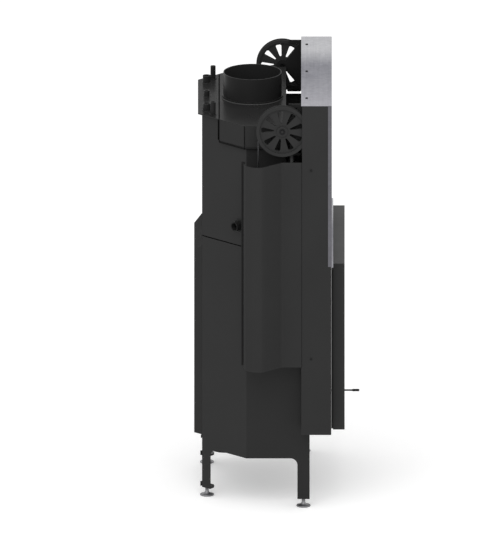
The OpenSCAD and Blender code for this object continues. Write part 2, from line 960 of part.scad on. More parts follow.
// The grate stands on the hearth plate's edge, with long slots and a rim below
module grate() {
    wall = 12;
    pitch = (grate_w - 2 * wall) / grate_slots;
    color(iron)
        translate([0, 0, hearth_top + gap])
            difference() {
                grate_hole(0, 0, grate_t);
                for (k = [0:grate_slots - 1])
                    translate([-grate_w / 2 + wall + (k + 0.5) * pitch, 0, -1])
                        for (half = [0, 1])
                            grate_slot(pitch * 0.5, half);
            }
}

module grate_slot(w, half) {
    bar = 14;
    len = (grate_d - 3 * bar) / 2;
    translate([0, pan_front - grate_d + bar + half * (len + bar), 0])
        linear_extrude(grate_t + 2)
            polygon(long_hole(w / 2, len));
}

// Outline of a hole with round ends, along the depth
function long_hole(r, len) =
    concat([for (k = [0:8]) [r * cos(180 + 22.5 * k), r + r * sin(180 + 22.5 * k)]],
        [for (k = [0:8]) [r * cos(22.5 * k), len - r + r * sin(22.5 * k)]]);

module ash_pan() {
    z0 = base_z + base_t + gap;
    color(paint)
        difference() {
            translate([0, 0, z0])
                grate_hole(-pan_gap, 0, pan_h);
            translate([0, 0, z0 + 2])
                grate_hole(-pan_gap - 2, 0, pan_h);
        }
}

module baffle() {
    inset = lining_inset + 6;
    rear = rear_corner(inset)[1] + baffle_rear;
    color(brick)
        slab(dome_plan(inset, lining_front - baffle_front, rear), baffle_top - baffle_t, baffle_top);
}

// A bent guard that keeps logs off the glass
module log_guard() {
    x = body_w / 2 - lining_inset - lining_t - gap;
    path = rounded([[lining_front - 8, floor_z + gap + 2], [lining_front, floor_z + gap + 2],
        [lining_front, floor_z + guard_h]], [bend_r]);
    color(iron)
        along_x(-x, x)
            polygon(sheet_outline(path, 2));
}

// Door housing

module housing_panel() {
    rear_path = [[panel_x - 32, housing_rear], [panel_x, housing_rear], [panel_x, panel_front],
        [frame_w / 2 - 18, panel_front]];
    color(paint)
        difference() {
            slab(sheet_outline(rounded(rear_path, [bend_r, bend_r]), -panel_t), housing_z, panel_top);
            block([0, housing_rear - 1, casing_z - gap], [panel_x + 1, housing_rear + bend_r + gap, panel_top + 1]);
            block([0, panel_front - 2 * panel_t, cover_z + 30], [panel_inner - 12, panel_front + 1, panel_top + 1]);
        }
}

// The floor reaches from the side sheets and the front plate to the panels
module housing_floor() {
    x0 = body_w / 2 + gap;
    x1 = panel_inner - gap;
    d0 = housing_rear + panel_t + gap;
    d1 = front_d + gap;
    d2 = panel_front - panel_t - gap;
    color(paint)
        slab([[x0, d0], [x0, d1], [-x0, d1], [-x0, d0], [-x1, d0], [-x1, d2], [x1, d2], [x1, d0]],
            housing_z + 2, housing_z + 4);
}

// The rail under the bright cover's top ties the two posts
module header_rail() {
    x = panel_inner - gap;
    path = [[post_front, panel_top - header_h], [post_front, panel_top], [post_front - header_flange, panel_top]];
    color(paint)
        along_x(-x, x)
            polygon(sheet_outline(rounded(path, [bend_r]), -panel_t));
}

// Each post is a channel that opens to the rear and carries the guide bar on its front
guide_w = 6;
guide_d = 9;
guide_x = (post_x0 + post_x1) / 2;

module guide_posts() {
    z0 = housing_z + 4 + gap;
    color(dark)
        both_sides() {
            slab(sheet_outline([[post_x0, housing_rear + 3], [post_x0, post_front],
                [post_x1, post_front], [post_x1, housing_rear + 3]], post_t), z0, post_top);
            block([guide_x - guide_w / 2, post_front, z0], [guide_x + guide_w / 2, post_front + guide_d, post_top - 40]);
        }
}

// Bright sheet over the top and the front of the housing, with folded sides and a lip
module front_cover() {
    x = housing_w / 2;
    profile = rounded([[housing_rear, housing_top], [housing_front, housing_top], [housing_front, cover_z],
        [housing_front + cover_lip, cover_z]], [cover_t + 0.5, cover_t + 0.1]);
    color(bright) {
        difference() {
            along_x(-x, x)
                polygon(sheet_outline(profile, cover_t));
            for (place_x = cover_screw_x)
                translate([place_x, cover_screw_d, housing_top - 2 * cover_t])
                    cylinder(r = screw_r / 2, h = 4 * cover_t, $fn = 24);
        }
        both_sides()
            block([x - cover_t, housing_front - cover_flange, cover_z + 2],
                [x, housing_front - cover_t, housing_top - cover_t]);
    }
}

cover_screw_d = housing_rear + cover_screw_in;
cover_screw_x = [-0.386 * housing_w, 0, 0.386 * housing_w];
panel_screw_d = housing_rear + screw_back;
panel_screw_z = [housing_z + screw_low, panel_top - screw_high];

module housing_screws() {
    color(dark) {
        for (x = cover_screw_x)
            translate([x, cover_screw_d, housing_top])
                screw_head();
        both_sides()
            for (z = panel_screw_z)
                translate([panel_x, panel_screw_d, z])
                    rotate([0, 90, 0])
                        screw_head();
    }
}

// A low round head with a hexagon socket
module screw_head() {
    difference() {
        cylinder(r = screw_r, h = screw_h, $fn = 24);
        translate([0, 0, screw_h / 2])
            cylinder(r = screw_r / 2, h = screw_h, $fn = 6);
    }
}

// The frame's section runs round the opening: a flat face with a return to the rear
module front_frame() {
    x = frame_w / 2;
    x0 = opening_w / 2;
    color(paint) {
        difference() {
            block([-x, frame_back, frame_z], [x, frame_front, frame_z + frame_h]);
            block([-x + frame_t, frame_back - 1, frame_z + frame_t],
                [x - frame_t, frame_front - frame_t, frame_z + frame_h - frame_t]);
            block([-x0, frame_back - 1, opening_z], [x0, frame_front + 1, opening_z + opening_h]);
        }
        difference() {
            block([-x0 - frame_t, frame_back, opening_z - frame_t],
                [x0 + frame_t, frame_front - frame_t, opening_z + opening_h + frame_t]);
            block([-x0, frame_back - 1, opening_z], [x0, frame_front + 1, opening_z + opening_h]);
        }
        both_sides()
            block([x0 + frame_t, panel_front + gap, frame_z + frame_t],
                [x - frame_t, frame_back + frame_gap, frame_z + frame_h - frame_t]);
    }
}

// Counterweight casings and the cable drive

casing_front = housing_rear;
casing_lap = 20;

function casing_path() =
    let (flange_end = casing_front - casing_flange)
    let (out = panel_x + casing_bulge, back = flange_end - 2 * casing_bulge)
    [[panel_inner - gap, casing_front + casing_lap],
        [panel_inner - gap, casing_front + 2],
        [panel_x, casing_front - gap],
        [panel_x, flange_end],
        [panel_x + 0.86 * casing_bulge, flange_end - 0.9 * casing_bulge],
        [out, flange_end - 1.08 * casing_bulge],
        [out - 3, flange_end - 1.5 * casing_bulge],
        [panel_x + 0.66 * casing_bulge, back + 7],
        [panel_x + 4, back],
        [wheel_x - 2, back + 4]];

module weight_casings() {
    color(paint)
        both_sides()
            slab(sheet_outline(rounded(casing_path(), [1, 2.6, 16, 18, 16, 30, 20, 9]), panel_t),
                casing_z, casing_top);
}

// Bracket plate: flange at the top, a web that tapers to the hub and a low arm. On the left a strap
// reaches down to the casing.
module wheel_brackets() {
    x1 = post_x1 - post_t - gap;
    x0 = x1 - bracket_t;
    low = wheel_z - bracket_low;
    high = wheel_z + bracket_high;
    arm_d = wheel_d + 17;
    strap_d = wheel_d + 27;
    strap_w = 11;
    strap_z = casing_top - strap_down;
    color(dark)
        both_sides() {
            difference() {
                along_x(x0, x1)
                    union() {
                        polygon([[post_front - 3, low], [post_front - 3, post_top], [cover_screw_d - 11, post_top],
                            [cover_screw_d - 11, high], [wheel_d + 22, high], [wheel_d + 22, high - 12],
                            [wheel_d + 56, high - 14], [wheel_d, wheel_z + 3], [wheel_d, wheel_z - 3],
                            [housing_rear - 6, low + 10], [arm_d, low + 13], [arm_d, low + 4], [housing_rear, low]]);
                        translate([wheel_d, wheel_z])
                            circle(hub_r + 2);
                    }
                rod_x(axle_r + 0.05, x0 - 1, x1 + 1, wheel_d, wheel_z);
            }
        }
    color(dark)
        side(false) {
            block([x0 - gap - bracket_t, strap_d, strap_z], [x0 - gap, strap_d + strap_w, wheel_z - 24]);
            block([x0 - gap - bracket_t, strap_d, strap_z], [panel_inner - gap, strap_d + strap_w, strap_z + bracket_t]);
        }
}

wheel_out = wheel_x + wheel_t / 2;
wheel_in = wheel_x - wheel_t / 2;

module axles() {
    nut_h = 6;
    x0 = post_x1 - post_t - gap - bracket_t;
    color(bright)
        both_sides() {
            rod_x(axle_r, x0 - nut_h, wheel_out + 4, wheel_d, wheel_z);
            translate([x0 - nut_h, wheel_d, wheel_z])
                rotate([0, 90, 0])
                    cylinder(r = axle_r + 4, h = nut_h - 0.05, $fn = 6);
            rod_x(axle_r + 3, post_x1 - post_t - gap + 0.05, wheel_in - gap, wheel_d, wheel_z);
            rod_x(bearing_r - 1, wheel_out + gap, wheel_out + 2, wheel_d, wheel_z);
        }
}

// Slotted wheel with a rope groove in its rim, a recessed web and a bearing in its hub
module wheel(phase) {
    half = wheel_t / 2;
    web = half - web_recess;
    rim = wheel_r - rim_w;
    floor_r = wheel_r - groove_h;
    groove = cable_r + 1;
    color(dark)
        translate([wheel_x, wheel_d, wheel_z])
            rotate([0, 90, 0])
                difference() {
                    rotate_extrude($fn = 128)
                        polygon([[axle_r + 0.05, -half], [hub_r, -half], [hub_r, -web], [rim, -web], [rim, -half],
                            [wheel_r, -half], [wheel_r, -groove - 4], [floor_r, -groove], [floor_r, groove],
                            [wheel_r, groove + 4], [wheel_r, half], [rim, half], [rim, web], [hub_r, web],
                            [hub_r, half], [axle_r + 0.05, half]]);
                    for (k = [0:wheel_slots - 1])
                        rotate([0, 0, 180 + phase + k * 360 / wheel_slots])
                            wheel_slot();
                    for (end = [-1, 1])
                        translate([0, 0, end * half])
                            rotate_extrude($fn = 64)
                                translate([bearing_r, 0])
                                    square(1.2, center = true);
                }
}

// Wedge-shaped slot with round ends, along +X of the wheel's own plane
module wheel_slot() {
    r0 = slot_w0 / 2;
    corner = 4;
    x1 = slot_r1 - corner;
    y1 = slot_w1 / 2 - corner;
    translate([0, 0, -wheel_t])
        linear_extrude(2 * wheel_t) {
            translate([slot_r0 + r0, 0])
                circle(r0, $fn = 24);
            polygon([[slot_r0 + r0, -r0], [x1, -slot_w1 / 2], [slot_r1, -y1], [slot_r1, y1], [x1, slot_w1 / 2],
                [slot_r0 + r0, r0]]);
        }
}

// Half turn of cable over the wheel
module cable_loops() {
    color(bright)
        both_sides()
            translate([wheel_x, wheel_d, wheel_z])
                rotate([90, 0, 90])
                    rotate_extrude(angle = 180, $fn = 96)
                        translate([pitch_r, 0])
                            circle(cable_r, $fn = 16);
}

module cable(d, z0) {
    color(bright)
        translate([wheel_x, d, z0])
            cylinder(r = cable_r, h = wheel_z - z0, $fn = 16);
}

// A counterweight: cast block with bevelled edges and an eye stub for the cable
module weight() {
    x = wheel_x;
    w = weight_w / 2;
    h = weight_d / 2;
    c = 6;
    color(iron) {
        translate([0, 0, weight_top - weight_h])
            linear_extrude(weight_h)
                translate([x, cable_rear_d])
                    polygon([[w - c, -h], [w, -h + c], [w, h - c], [w - c, h], [-w + c, h], [-w, h - c],
                        [-w, -h + c], [-w + c, -h]]);
        translate([x, cable_rear_d, weight_top])
            cylinder(r = 8, h = eye_h, $fn = 32);
    }
}

// Sliding frame of the door: plate, guide shoes, cable clamps and hinge lugs
module door_carriage() {
    x = carriage_w / 2;
    color(dark) {
        difference() {
            block([-x, carriage_d, carriage_z0], [x, carriage_front, carriage_z1]);
            door_hole(0, carriage_d - 1, carriage_front + 1);
        }
        for (z = [pin_low, pin_high - pivot_lug])
            difference() {
                block([pivot_x - 9, carriage_front, z], [pivot_x + 9, pivot_d + 9, z + pivot_lug]);
                translate([pivot_x, pivot_d, z - 1])
                    cylinder(r = hinge_pin_r, h = pivot_lug + 2);
            }
        both_sides() {
            shoe(carriage_z0 + 10);
            shoe(carriage_z1 - shoe_h - 10);
            clamp_arm();
        }
    }
}

// A guide shoe grips the post's guide bar from the front
shoe_h = 50;
module shoe(z) {
    w = guide_w / 2 + run_gap;
    difference() {
        block([carriage_w / 2, post_front + 1, z], [guide_x + 10, carriage_front, z + shoe_h]);
        block([guide_x - w, post_front, z - 1], [guide_x + w, post_front + guide_d + run_gap, z + shoe_h + 1]);
    }
}

// The arm passes the post's front and holds the cable's end
module clamp_arm() {
    half = 7;
    block([carriage_w / 2, post_front + guide_d + 2 * run_gap, clamp_z - clamp_h],
        [wheel_x + half, carriage_front, clamp_z]);
    block([wheel_x - half, cable_front_d - half, clamp_z - clamp_h], [wheel_x + half, carriage_front - 1, clamp_z]);
}

// Rope seal on the sliding frame's rear face, round the firebox opening
module door_seal() {
    inner = 8;
    color("lightgray")
        difference() {
            door_hole(inner + seal_t, plate_front + gap, carriage_d);
            door_hole(inner, plate_front - 1, carriage_d + 1);
        }
}

module hinge_pins() {
    color(bright)
        for (z = [pin_low, pin_high - pin_len])
            translate([pivot_x, pivot_d, z])
                cylinder(r = hinge_pin_r, h = pin_len);
}

// The leaf's frame: open to the rear between its walls, grooved for the glass, bored for the pins
module door_leaf() {
    x = leaf_w / 2;
    wall = 3;
    pin_block = 24;
    color(dark)
        difference() {
            block([-x, leaf_d, leaf_z], [x, leaf_front, leaf_z + leaf_h]);
            door_hole(0, leaf_d - 1, leaf_front + 1);
            door_hole(glass_seat + gap, glass_d - gap, glass_d + glass_t + gap);
            difference() {
                block([-x + wall, leaf_d - 1, leaf_z + wall], [x - wall, leaf_front - wall, leaf_z + leaf_h - wall]);
                door_hole(glass_seat + gap + wall, leaf_d - 2, leaf_front);
                for (z = [leaf_z, leaf_z + leaf_h - pin_block])
                    block([-x, leaf_d - 2, z], [-x + pin_block, leaf_front, z + pin_block]);
            }
            for (z = [pin_low, pin_high - pin_len])
                translate([pivot_x, pivot_d, z - 1])
                    cylinder(r = hinge_pin_r + fit, h = pin_len + 2);
        }
}

module door_glass() {
    color([0.1, 0.1, 0.1, 0.4])
        door_hole(glass_seat, glass_d, glass_d + glass_t);
}

module door_handle() {
    tip = frame_front + handle_out;
    color(dark) {
        rod_d(rod_r, 0, leaf_front, tip - grip_len + 4, handle_z);
        rod_d(grip_r, 0, tip - grip_len, tip, handle_z);
    }
}

place() color(paint) side(false) side_sheet();  // side_sheet_left
place() color(paint) side(true) side_sheet();  // side_sheet_right
place() rear_sheet();
place() base_plate();
place() front_sheet();
place() front_plate();
place() firebox_shell();
place() smoke_shelf();
place() hearth_plate();
place() water_jacket();
place() jacket_hood();
place() jacket_top();
place() tube_plates();
place() exchanger_tubes();
place() dome_box();
place() flue_collar();
place() rear_duct();
place() water_sockets();
place() cooling_loop();
place() sensor_sockets();
place() air_spigot();
place() air_flap();
place() air_rod();
place() wall_lining();
place() floor_bricks();
place() grate();
place() ash_pan();
place() baffle();
place() log_guard();
place() leg_plates();
place() leg_bolts();
place() side(false) foot(foot_front);  // foot_front_left
place() side(true) foot(foot_front);  // foot_front_right
place() side(false) foot(foot_rear);  // foot_rear_left
place() side(true) foot(foot_rear);  // foot_rear_right
place() side(false) housing_panel();  // housing_panel_left
place() side(true) housing_panel();  // housing_panel_right
place() housing_floor();
place() header_rail();
place() guide_posts();
place() front_cover();
place() front_frame();
place() housing_screws();
place() weight_casings();
place() wheel_brackets();
place() axles();
place() side(false) wheel(wheel_turn_left);  // wheel_left
place() side(true) wheel(wheel_turn_right);  // wheel_right
place() cable_loops();
place() both_sides() cable(cable_front_d, clamp_z + gap);  // cables_front
place() side(false) cable(cable_rear_d, weight_top + eye_h + gap);  // cable_weight_left
place() side(true) cable(cable_rear_d, weight_top + eye_h + gap);  // cable_weight_right
place() side(false) weight();  // weight_left
place() side(true) weight();  // weight_right
place() door_carriage();
place() door_seal();
place() hinge_pins();
place() door_leaf();
place() door_glass();
place() door_handle();
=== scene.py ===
import bpy
import bmesh
import json
import math
import numpy as np
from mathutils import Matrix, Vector


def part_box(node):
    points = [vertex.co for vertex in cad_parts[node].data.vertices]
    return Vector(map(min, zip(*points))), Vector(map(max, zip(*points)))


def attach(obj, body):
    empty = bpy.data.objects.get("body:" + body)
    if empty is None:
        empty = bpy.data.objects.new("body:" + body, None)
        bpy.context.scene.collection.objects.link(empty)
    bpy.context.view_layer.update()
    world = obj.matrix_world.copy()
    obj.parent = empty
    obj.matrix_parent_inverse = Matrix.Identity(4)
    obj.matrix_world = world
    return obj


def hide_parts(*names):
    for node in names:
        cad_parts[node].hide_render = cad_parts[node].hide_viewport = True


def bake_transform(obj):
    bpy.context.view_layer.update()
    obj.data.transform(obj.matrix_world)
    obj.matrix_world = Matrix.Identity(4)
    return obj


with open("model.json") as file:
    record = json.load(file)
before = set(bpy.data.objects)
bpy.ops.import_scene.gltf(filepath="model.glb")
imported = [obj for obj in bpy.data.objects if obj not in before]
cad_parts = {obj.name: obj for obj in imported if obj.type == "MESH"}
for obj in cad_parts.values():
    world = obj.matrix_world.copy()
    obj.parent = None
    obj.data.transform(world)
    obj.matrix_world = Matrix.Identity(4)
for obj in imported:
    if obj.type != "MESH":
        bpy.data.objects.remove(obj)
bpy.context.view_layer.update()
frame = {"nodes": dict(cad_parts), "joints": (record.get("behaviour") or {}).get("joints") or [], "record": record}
node = frame["nodes"]
joint = {j["name"]: j for j in frame["joints"]}
sides = {"left": "l", "right": "r"}  # each side's mark in the names of bodies and joints
feet = {"front_left": "fl", "front_right": "fr", "rear_left": "rl", "rear_right": "rr"}
print("frame loaded:", len(node), "parts")


# Short ways to write shader nodes

def feed(tree, socket, value):
    # joins a socket to another one, or sets its own number or colour
    if isinstance(value, bpy.types.NodeSocket):
        tree.links.new(value, socket)
    else:
        socket.default_value = value


def put(tree, kind, settings=(), **inputs):
    # adds a node, sets its values and feeds its inputs; _ stands for a space, in0 for the first input
    made = tree.nodes.new(kind)
    for key, value in dict(settings).items():
        setattr(made, key, value)
    for key, value in inputs.items():
        numbered = key[:2] == "in" and key[2:].isdigit()
        feed(tree, made.inputs[int(key[2:]) if numbered else key.replace("_", " ")], value)
    return made


def maths(tree, operation, a, b=0.0):
    return put(tree, "ShaderNodeMath", {"operation": operation}, in0=a, in1=b).outputs[0]


def aboutZero(tree, value, share):
    # value runs from 0 to 1, the result from -share / 2 to share / 2
    return maths(tree, "MULTIPLY", maths(tree, "SUBTRACT", value, 0.5), share)


def ramp(tree, value, low, high, fromValue=0.0, toValue=1.0):
    return put(tree, "ShaderNodeMapRange", {"clamp": True}, Value=value, From_Min=low, From_Max=high,
               To_Min=fromValue, To_Max=toValue).outputs[0]


def objectPoint(tree, scale=(1, 1, 1)):
    point = tree.nodes.new("ShaderNodeTexCoord").outputs["Object"]
    return put(tree, "ShaderNodeMapping", Vector=point, Scale=scale).outputs[0]


def plainNormal(tree):
    return tree.nodes.new("ShaderNodeNewGeometry").outputs["Normal"]


def split(tree, vector):
    return put(tree, "ShaderNodeSeparateXYZ", Vector=vector).outputs


def noise(tree, point, scale, detail, roughness=0.55):
    made = put(tree, "ShaderNodeTexNoise", Vector=point, Scale=scale, Detail=detail, Roughness=roughness)
    return made.outputs["Fac"]


def mixColours(tree, factor, a, b):
    return put(tree, "ShaderNodeMix", {"data_type": "RGBA"}, in0=factor, in6=a, in7=b).outputs[2]


def grey(tone):
    return tone, tone, tone, 1


# Shader node groups that several finishes share

def newGroup(name, inputs, outputs):
    group = bpy.data.node_groups.new(name, "ShaderNodeTree")
    for label, value in inputs.items():
        group.interface.new_socket(label, in_out="INPUT", socket_type="NodeSocketFloat").default_value = value
    for label in outputs:
        group.interface.new_socket(label, in_out="OUTPUT", socket_type="NodeSocketFloat")
    return group, group.nodes.new("NodeGroupInput"), group.nodes.new("NodeGroupOutput")


# Sprayed paint: fine grains for the bump, broad clouds for tone and gloss
def makeSprayGroup():
    group, start, end = newGroup("sprayed paint", {"Grain size": 900.0, "Cloud size": 6.0}, ("Grain", "Clouds"))
    point = objectPoint(group)
    feed(group, end.inputs["Grain"], noise(group, point, start.outputs["Grain size"], detail=2.0))
    feed(group, end.inputs["Clouds"], noise(group, point, start.outputs["Cloud size"], detail=4.0))
    return group


# Settled dust: on faces that look up, in patches
def makeDustGroup():
    group, start, end = newGroup("settled dust", {"Amount": 0.3}, ("Dust",))
    up = split(group, plainNormal(group))["Z"]
    cloud = noise(group, objectPoint(group), 14.0, detail=5.0, roughness=0.65)
    patches = ramp(group, cloud, low=0.35, high=0.75, fromValue=0.3)
    mask = maths(group, "MULTIPLY", ramp(group, up, low=0.5, high=1.0), patches)
    feed(group, end.inputs["Dust"], maths(group, "MULTIPLY", mask, start.outputs["Amount"]))
    return group


# Rolled sheet: long fine streaks along X
def makeStreakGroup():
    group, start, end = newGroup("rolled streaks", {"Fineness": 60.0}, ("Streaks",))
    stretched = objectPoint(group, scale=(0.03, 1, 1))
    streaks = noise(group, stretched, start.outputs["Fineness"], detail=6.0, roughness=0.7)
    feed(group, end.inputs["Streaks"], streaks)
    return group


# Zinc crystals: flat-toned cells with edges that a noise bends
def makeCrystalGroup():
    group, start, end = newGroup("zinc crystals", {"Cells": 90.0}, ("Tone",))
    point, bend = objectPoint(group), (0.012, 0.012, 0.012)
    warp = put(group, "ShaderNodeTexNoise", Vector=point, Scale=40.0).outputs["Color"]
    bent = put(group, "ShaderNodeVectorMath", {"operation": "MULTIPLY_ADD"}, in0=warp, in1=bend, in2=point)
    cells = put(group, "ShaderNodeTexVoronoi", Vector=bent.outputs[0], Scale=start.outputs["Cells"])
    tone = put(group, "ShaderNodeSeparateColor", Color=cells.outputs["Color"]).outputs[0]
    feed(group, end.inputs["Tone"], tone)
    return group


# Handling marks: faint smears that change the gloss
def makeSmearGroup():
    group, start, end = newGroup("handling smears", {"Smear size": 4.0}, ("Smears",))
    drawn = objectPoint(group, scale=(1, 1, 0.4))
    cloud = noise(group, drawn, start.outputs["Smear size"], detail=6.0, roughness=0.6)
    feed(group, end.inputs["Smears"], ramp(group, cloud, low=0.42, high=0.68))
    return group


# Edge wear: where the surface bends, from how far a bevelled normal leaves the plain one
def makeWearGroup():
    group, start, end = newGroup("edge wear", {"Reach": 0.002}, ("Wear",))
    rounded = put(group, "ShaderNodeBevel", {"samples": 6}, Radius=start.outputs["Reach"]).outputs[0]
    same = put(group, "ShaderNodeVectorMath", {"operation": "DOT_PRODUCT"}, in0=plainNormal(group), in1=rounded)
    bend = ramp(group, same.outputs["Value"], low=0.93, high=0.995, fromValue=1.0, toValue=0.0)
    cloud = noise(group, objectPoint(group), 160.0, detail=5.0, roughness=0.65)
    feed(group, end.inputs["Wear"], maths(group, "MULTIPLY", bend, ramp(group, cloud, low=0.40, high=0.62)))
    return group


sprayGroup, dustGroup = makeSprayGroup(), makeDustGroup()
streakGroup, crystalGroup = makeStreakGroup(), makeCrystalGroup()
smearGroup, wearGroup = makeSmearGroup(), makeWearGroup()


def useGroup(tree, group, **values):
    # places a group with its own values and gives its outputs
    made = tree.nodes.new("ShaderNodeGroup")
    made.node_tree = group
    for key, value in values.items():
        made.inputs[key.replace("_", " ")].default_value = value
    return made.outputs


def dulled(tree, gloss, size, share):
    # a roughness with handling smears added to it
    smears = useGroup(tree, smearGroup, Smear_size=size)["Smears"]
    return maths(tree, "ADD", gloss, maths(tree, "MULTIPLY", smears, share))


def newMaterial(name, **fixed):
    material = bpy.data.materials.new(name)
    material.use_nodes = True
    tree = material.node_tree
    shader = tree.nodes["Principled BSDF"]
    for key, value in fixed.items():
        shader.inputs[key.replace("_", " ")].default_value = value
    return material, tree, shader


def addBump(tree, shader, height, strength, distance):
    bump = put(tree, "ShaderNodeBump", Height=height, Strength=strength, Distance=distance)
    feed(tree, shader.inputs["Normal"], bump.outputs[0])


# Heat-resistant paint on sheet steel. What all paints share, then each one's tone, roughness, specular
# level and the share of its tone that is left on faces that look up, a painted shade on their tops
paintLook = {"grainSize": 1400.0, "grain": 0.05, "grainDepth": 0.0002, "cloudSize": 5.0, "variation": 0.08,
             "glossSpread": 0.03, "dust": 0.04, "dustColour": (0.16, 0.155, 0.15, 1), "smear": 0.07,
             "smearSize": 3.5, "wearTone": 0.05, "wearShare": 0.25, "wearReach": 0.0012}
paints = {"body paint": (0.0222, 0.22, 0.10, 1), "housing paint": (0.0330, 0.55, 0.010, 1),
          # the leg paint is lighter than the body paint: painted light on the legs and the base plate
          "lid paint with painted top shade": (0.0292, 0.26, 0.022, 0.65), "leg paint with painted light": (0.0265, 0.30, 0.08, 1),
          "black paint": (0.0185, 0.34, 0.05, 1), "frame paint": (0.0345, 0.36, 0.06, 1),
          "duct paint with painted top shade": (0.031, 0.62, 0.02, 0.62), "strap paint with painted light": (0.070, 0.60, 0.02, 1),
          "weld paint with painted highlight": (0.075, 0.50, 0.03, 1), "axle steel": (0.030, 0.60, 0.02, 1),
          "dark strip of painted shade": (0.0215, 0.85, 0.0, 1), "dark paste of painted shade": (0.0115, 0.85, 0.0, 1)}

def paintMaterial(name, tone, roughness, specular, paintedTopShadeShare):
    # clouds of tone and gloss, painted shade on faces that look up, dust, smears that dull it, and bare metal at
    # worn edges
    material, tree, shader = newMaterial(name, Specular_IOR_Level=specular)
    spray = useGroup(tree, sprayGroup, Grain_size=paintLook["grainSize"], Cloud_size=paintLook["cloudSize"])
    clouds, spread = spray["Clouds"], paintLook["variation"]
    colour = mixColours(tree, clouds, grey(tone * (1 - spread)), grey(tone * (1 + spread)))
    # painted shade: faces that look up keep only this share of their tone
    if paintedTopShadeShare < 1:
        up = ramp(tree, split(tree, plainNormal(tree))["Z"], low=0.1, high=0.5, fromValue=1.0, toValue=paintedTopShadeShare)
        colour = put(tree, "ShaderNodeHueSaturation", Color=colour, Value=up).outputs[0]
    dust = useGroup(tree, dustGroup, Amount=paintLook["dust"])["Dust"]
    colour = mixColours(tree, dust, colour, paintLook["dustColour"])
    wear = useGroup(tree, wearGroup, Reach=paintLook["wearReach"])["Wear"]
    worn = maths(tree, "MULTIPLY", wear, paintLook["wearShare"])
    feed(tree, shader.inputs["Base Color"], mixColours(tree, worn, colour, grey(paintLook["wearTone"])))
    even = paintLook["glossSpread"]
    gloss = ramp(tree, clouds, low=0.3, high=0.7, fromValue=roughness - even, toValue=roughness + even)
    feed(tree, shader.inputs["Roughness"], dulled(tree, gloss, paintLook["smearSize"], paintLook["smear"]))
    addBump(tree, shader, spray["Grain"], paintLook["grain"], paintLook["grainDepth"])
    return material


# Galvanised sheet of the housing's cover: a top with a painted reflection, milky towards its sides and darker in a
# bluish band across its middle, and painted shade on the front, darker still on the upright edges. The band's ends
# are distances from the middle towards each side, in metres
zincLook = {"near": (0.315, 0.31, 0.345, 1), "band": (0.155, 0.155, 0.186, 1), "far": (0.44, 0.44, 0.46, 1),
            "front": (0.215, 0.214, 0.230, 1), "upright": (0.122, 0.120, 0.133, 1),
            "nearStart": 0.040, "nearEnd": 0.430, "farStart": 0.075, "farEnd": 0.275, "bandWave": 0.06,
            "cells": 70.0, "cellShare": 0.10, "streaks": 110.0, "streakShare": 0.30, "streakDepth": 0.0003,
            "roughness": 0.30, "glossSpread": 0.06, "smear": 0.08, "smearSize": 9.0}

def galvanisedMaterial(name):
    material, tree, shader = newMaterial(name, Metallic=1.0)
    crystals = useGroup(tree, crystalGroup, Cells=zincLook["cells"])["Tone"]
    streaks = useGroup(tree, streakGroup, Fineness=zincLook["streaks"])["Streaks"]
    across = split(tree, objectPoint(tree))["X"]
    waved = maths(tree, "ADD", across, aboutZero(tree, streaks, zincLook["bandWave"]))
    towardsNear = ramp(tree, waved, low=-zincLook["nearStart"], high=-zincLook["nearEnd"])
    towardsFar = ramp(tree, waved, low=zincLook["farStart"], high=zincLook["farEnd"])
    # painted reflection: the top is milky towards both sides and darker in a bluish band across its middle
    top = mixColours(tree, towardsNear, zincLook["band"], zincLook["near"])
    top = mixColours(tree, towardsFar, top, zincLook["far"])
    # painted shade: the front darker than the top, the upright edges darker still
    normal = split(tree, plainNormal(tree))
    sideways = ramp(tree, maths(tree, "ABSOLUTE", normal["X"]), low=0.5, high=0.8)
    paintedUprightShade = mixColours(tree, sideways, zincLook["front"], zincLook["upright"])
    colour = mixColours(tree, ramp(tree, normal["Z"], low=0.3, high=0.8), paintedUprightShade, top)
    shade = maths(tree, "ADD", aboutZero(tree, streaks, zincLook["streakShare"]),
                  aboutZero(tree, crystals, zincLook["cellShare"]))
    lit = put(tree, "ShaderNodeHueSaturation", Color=colour, Value=maths(tree, "ADD", shade, 1.0)).outputs[0]
    feed(tree, shader.inputs["Base Color"], lit)
    rough, even = zincLook["roughness"], zincLook["glossSpread"]
    gloss = ramp(tree, shade, low=-0.15, high=0.15, fromValue=rough + even, toValue=rough - even)
    feed(tree, shader.inputs["Roughness"], dulled(tree, gloss, zincLook["smearSize"], zincLook["smear"]))
    addBump(tree, shader, streaks, strength=0.06, distance=zincLook["streakDepth"])
    return material


# Bright and blackened metal of small parts and cables: tone and roughness of each
platings = {"zinc plating": (0.60, 0.30), "dull zinc": (0.30, 0.48), "cable wire": (0.07, 0.38),
            "blackened steel": (0.022, 0.50)}

def platedMaterial(name, tone, roughness):
    # slightly blue metal, clouded in tone and gloss
    material, tree, shader = newMaterial(name, Metallic=1.0)
    point = objectPoint(tree)
    cloud = noise(tree, point, 60.0, detail=4.0)
    dim, bright = (tone * 0.8, tone * 0.8, tone * 0.83, 1), (tone, tone, tone * 1.03, 1)
    feed(tree, shader.inputs["Base Color"], mixColours(tree, cloud, dim, bright))
    gloss = ramp(tree, cloud, low=0.3, high=0.7, fromValue=roughness - 0.06, toValue=roughness + 0.08)
    feed(tree, shader.inputs["Roughness"], gloss)
    addBump(tree, shader, noise(tree, point, 900.0, detail=2.0), strength=0.05, distance=0.0002)
    return material


# Rough cast iron
castLook = {"tone": 0.035, "sand": 420.0, "sandDepth": 0.0008}

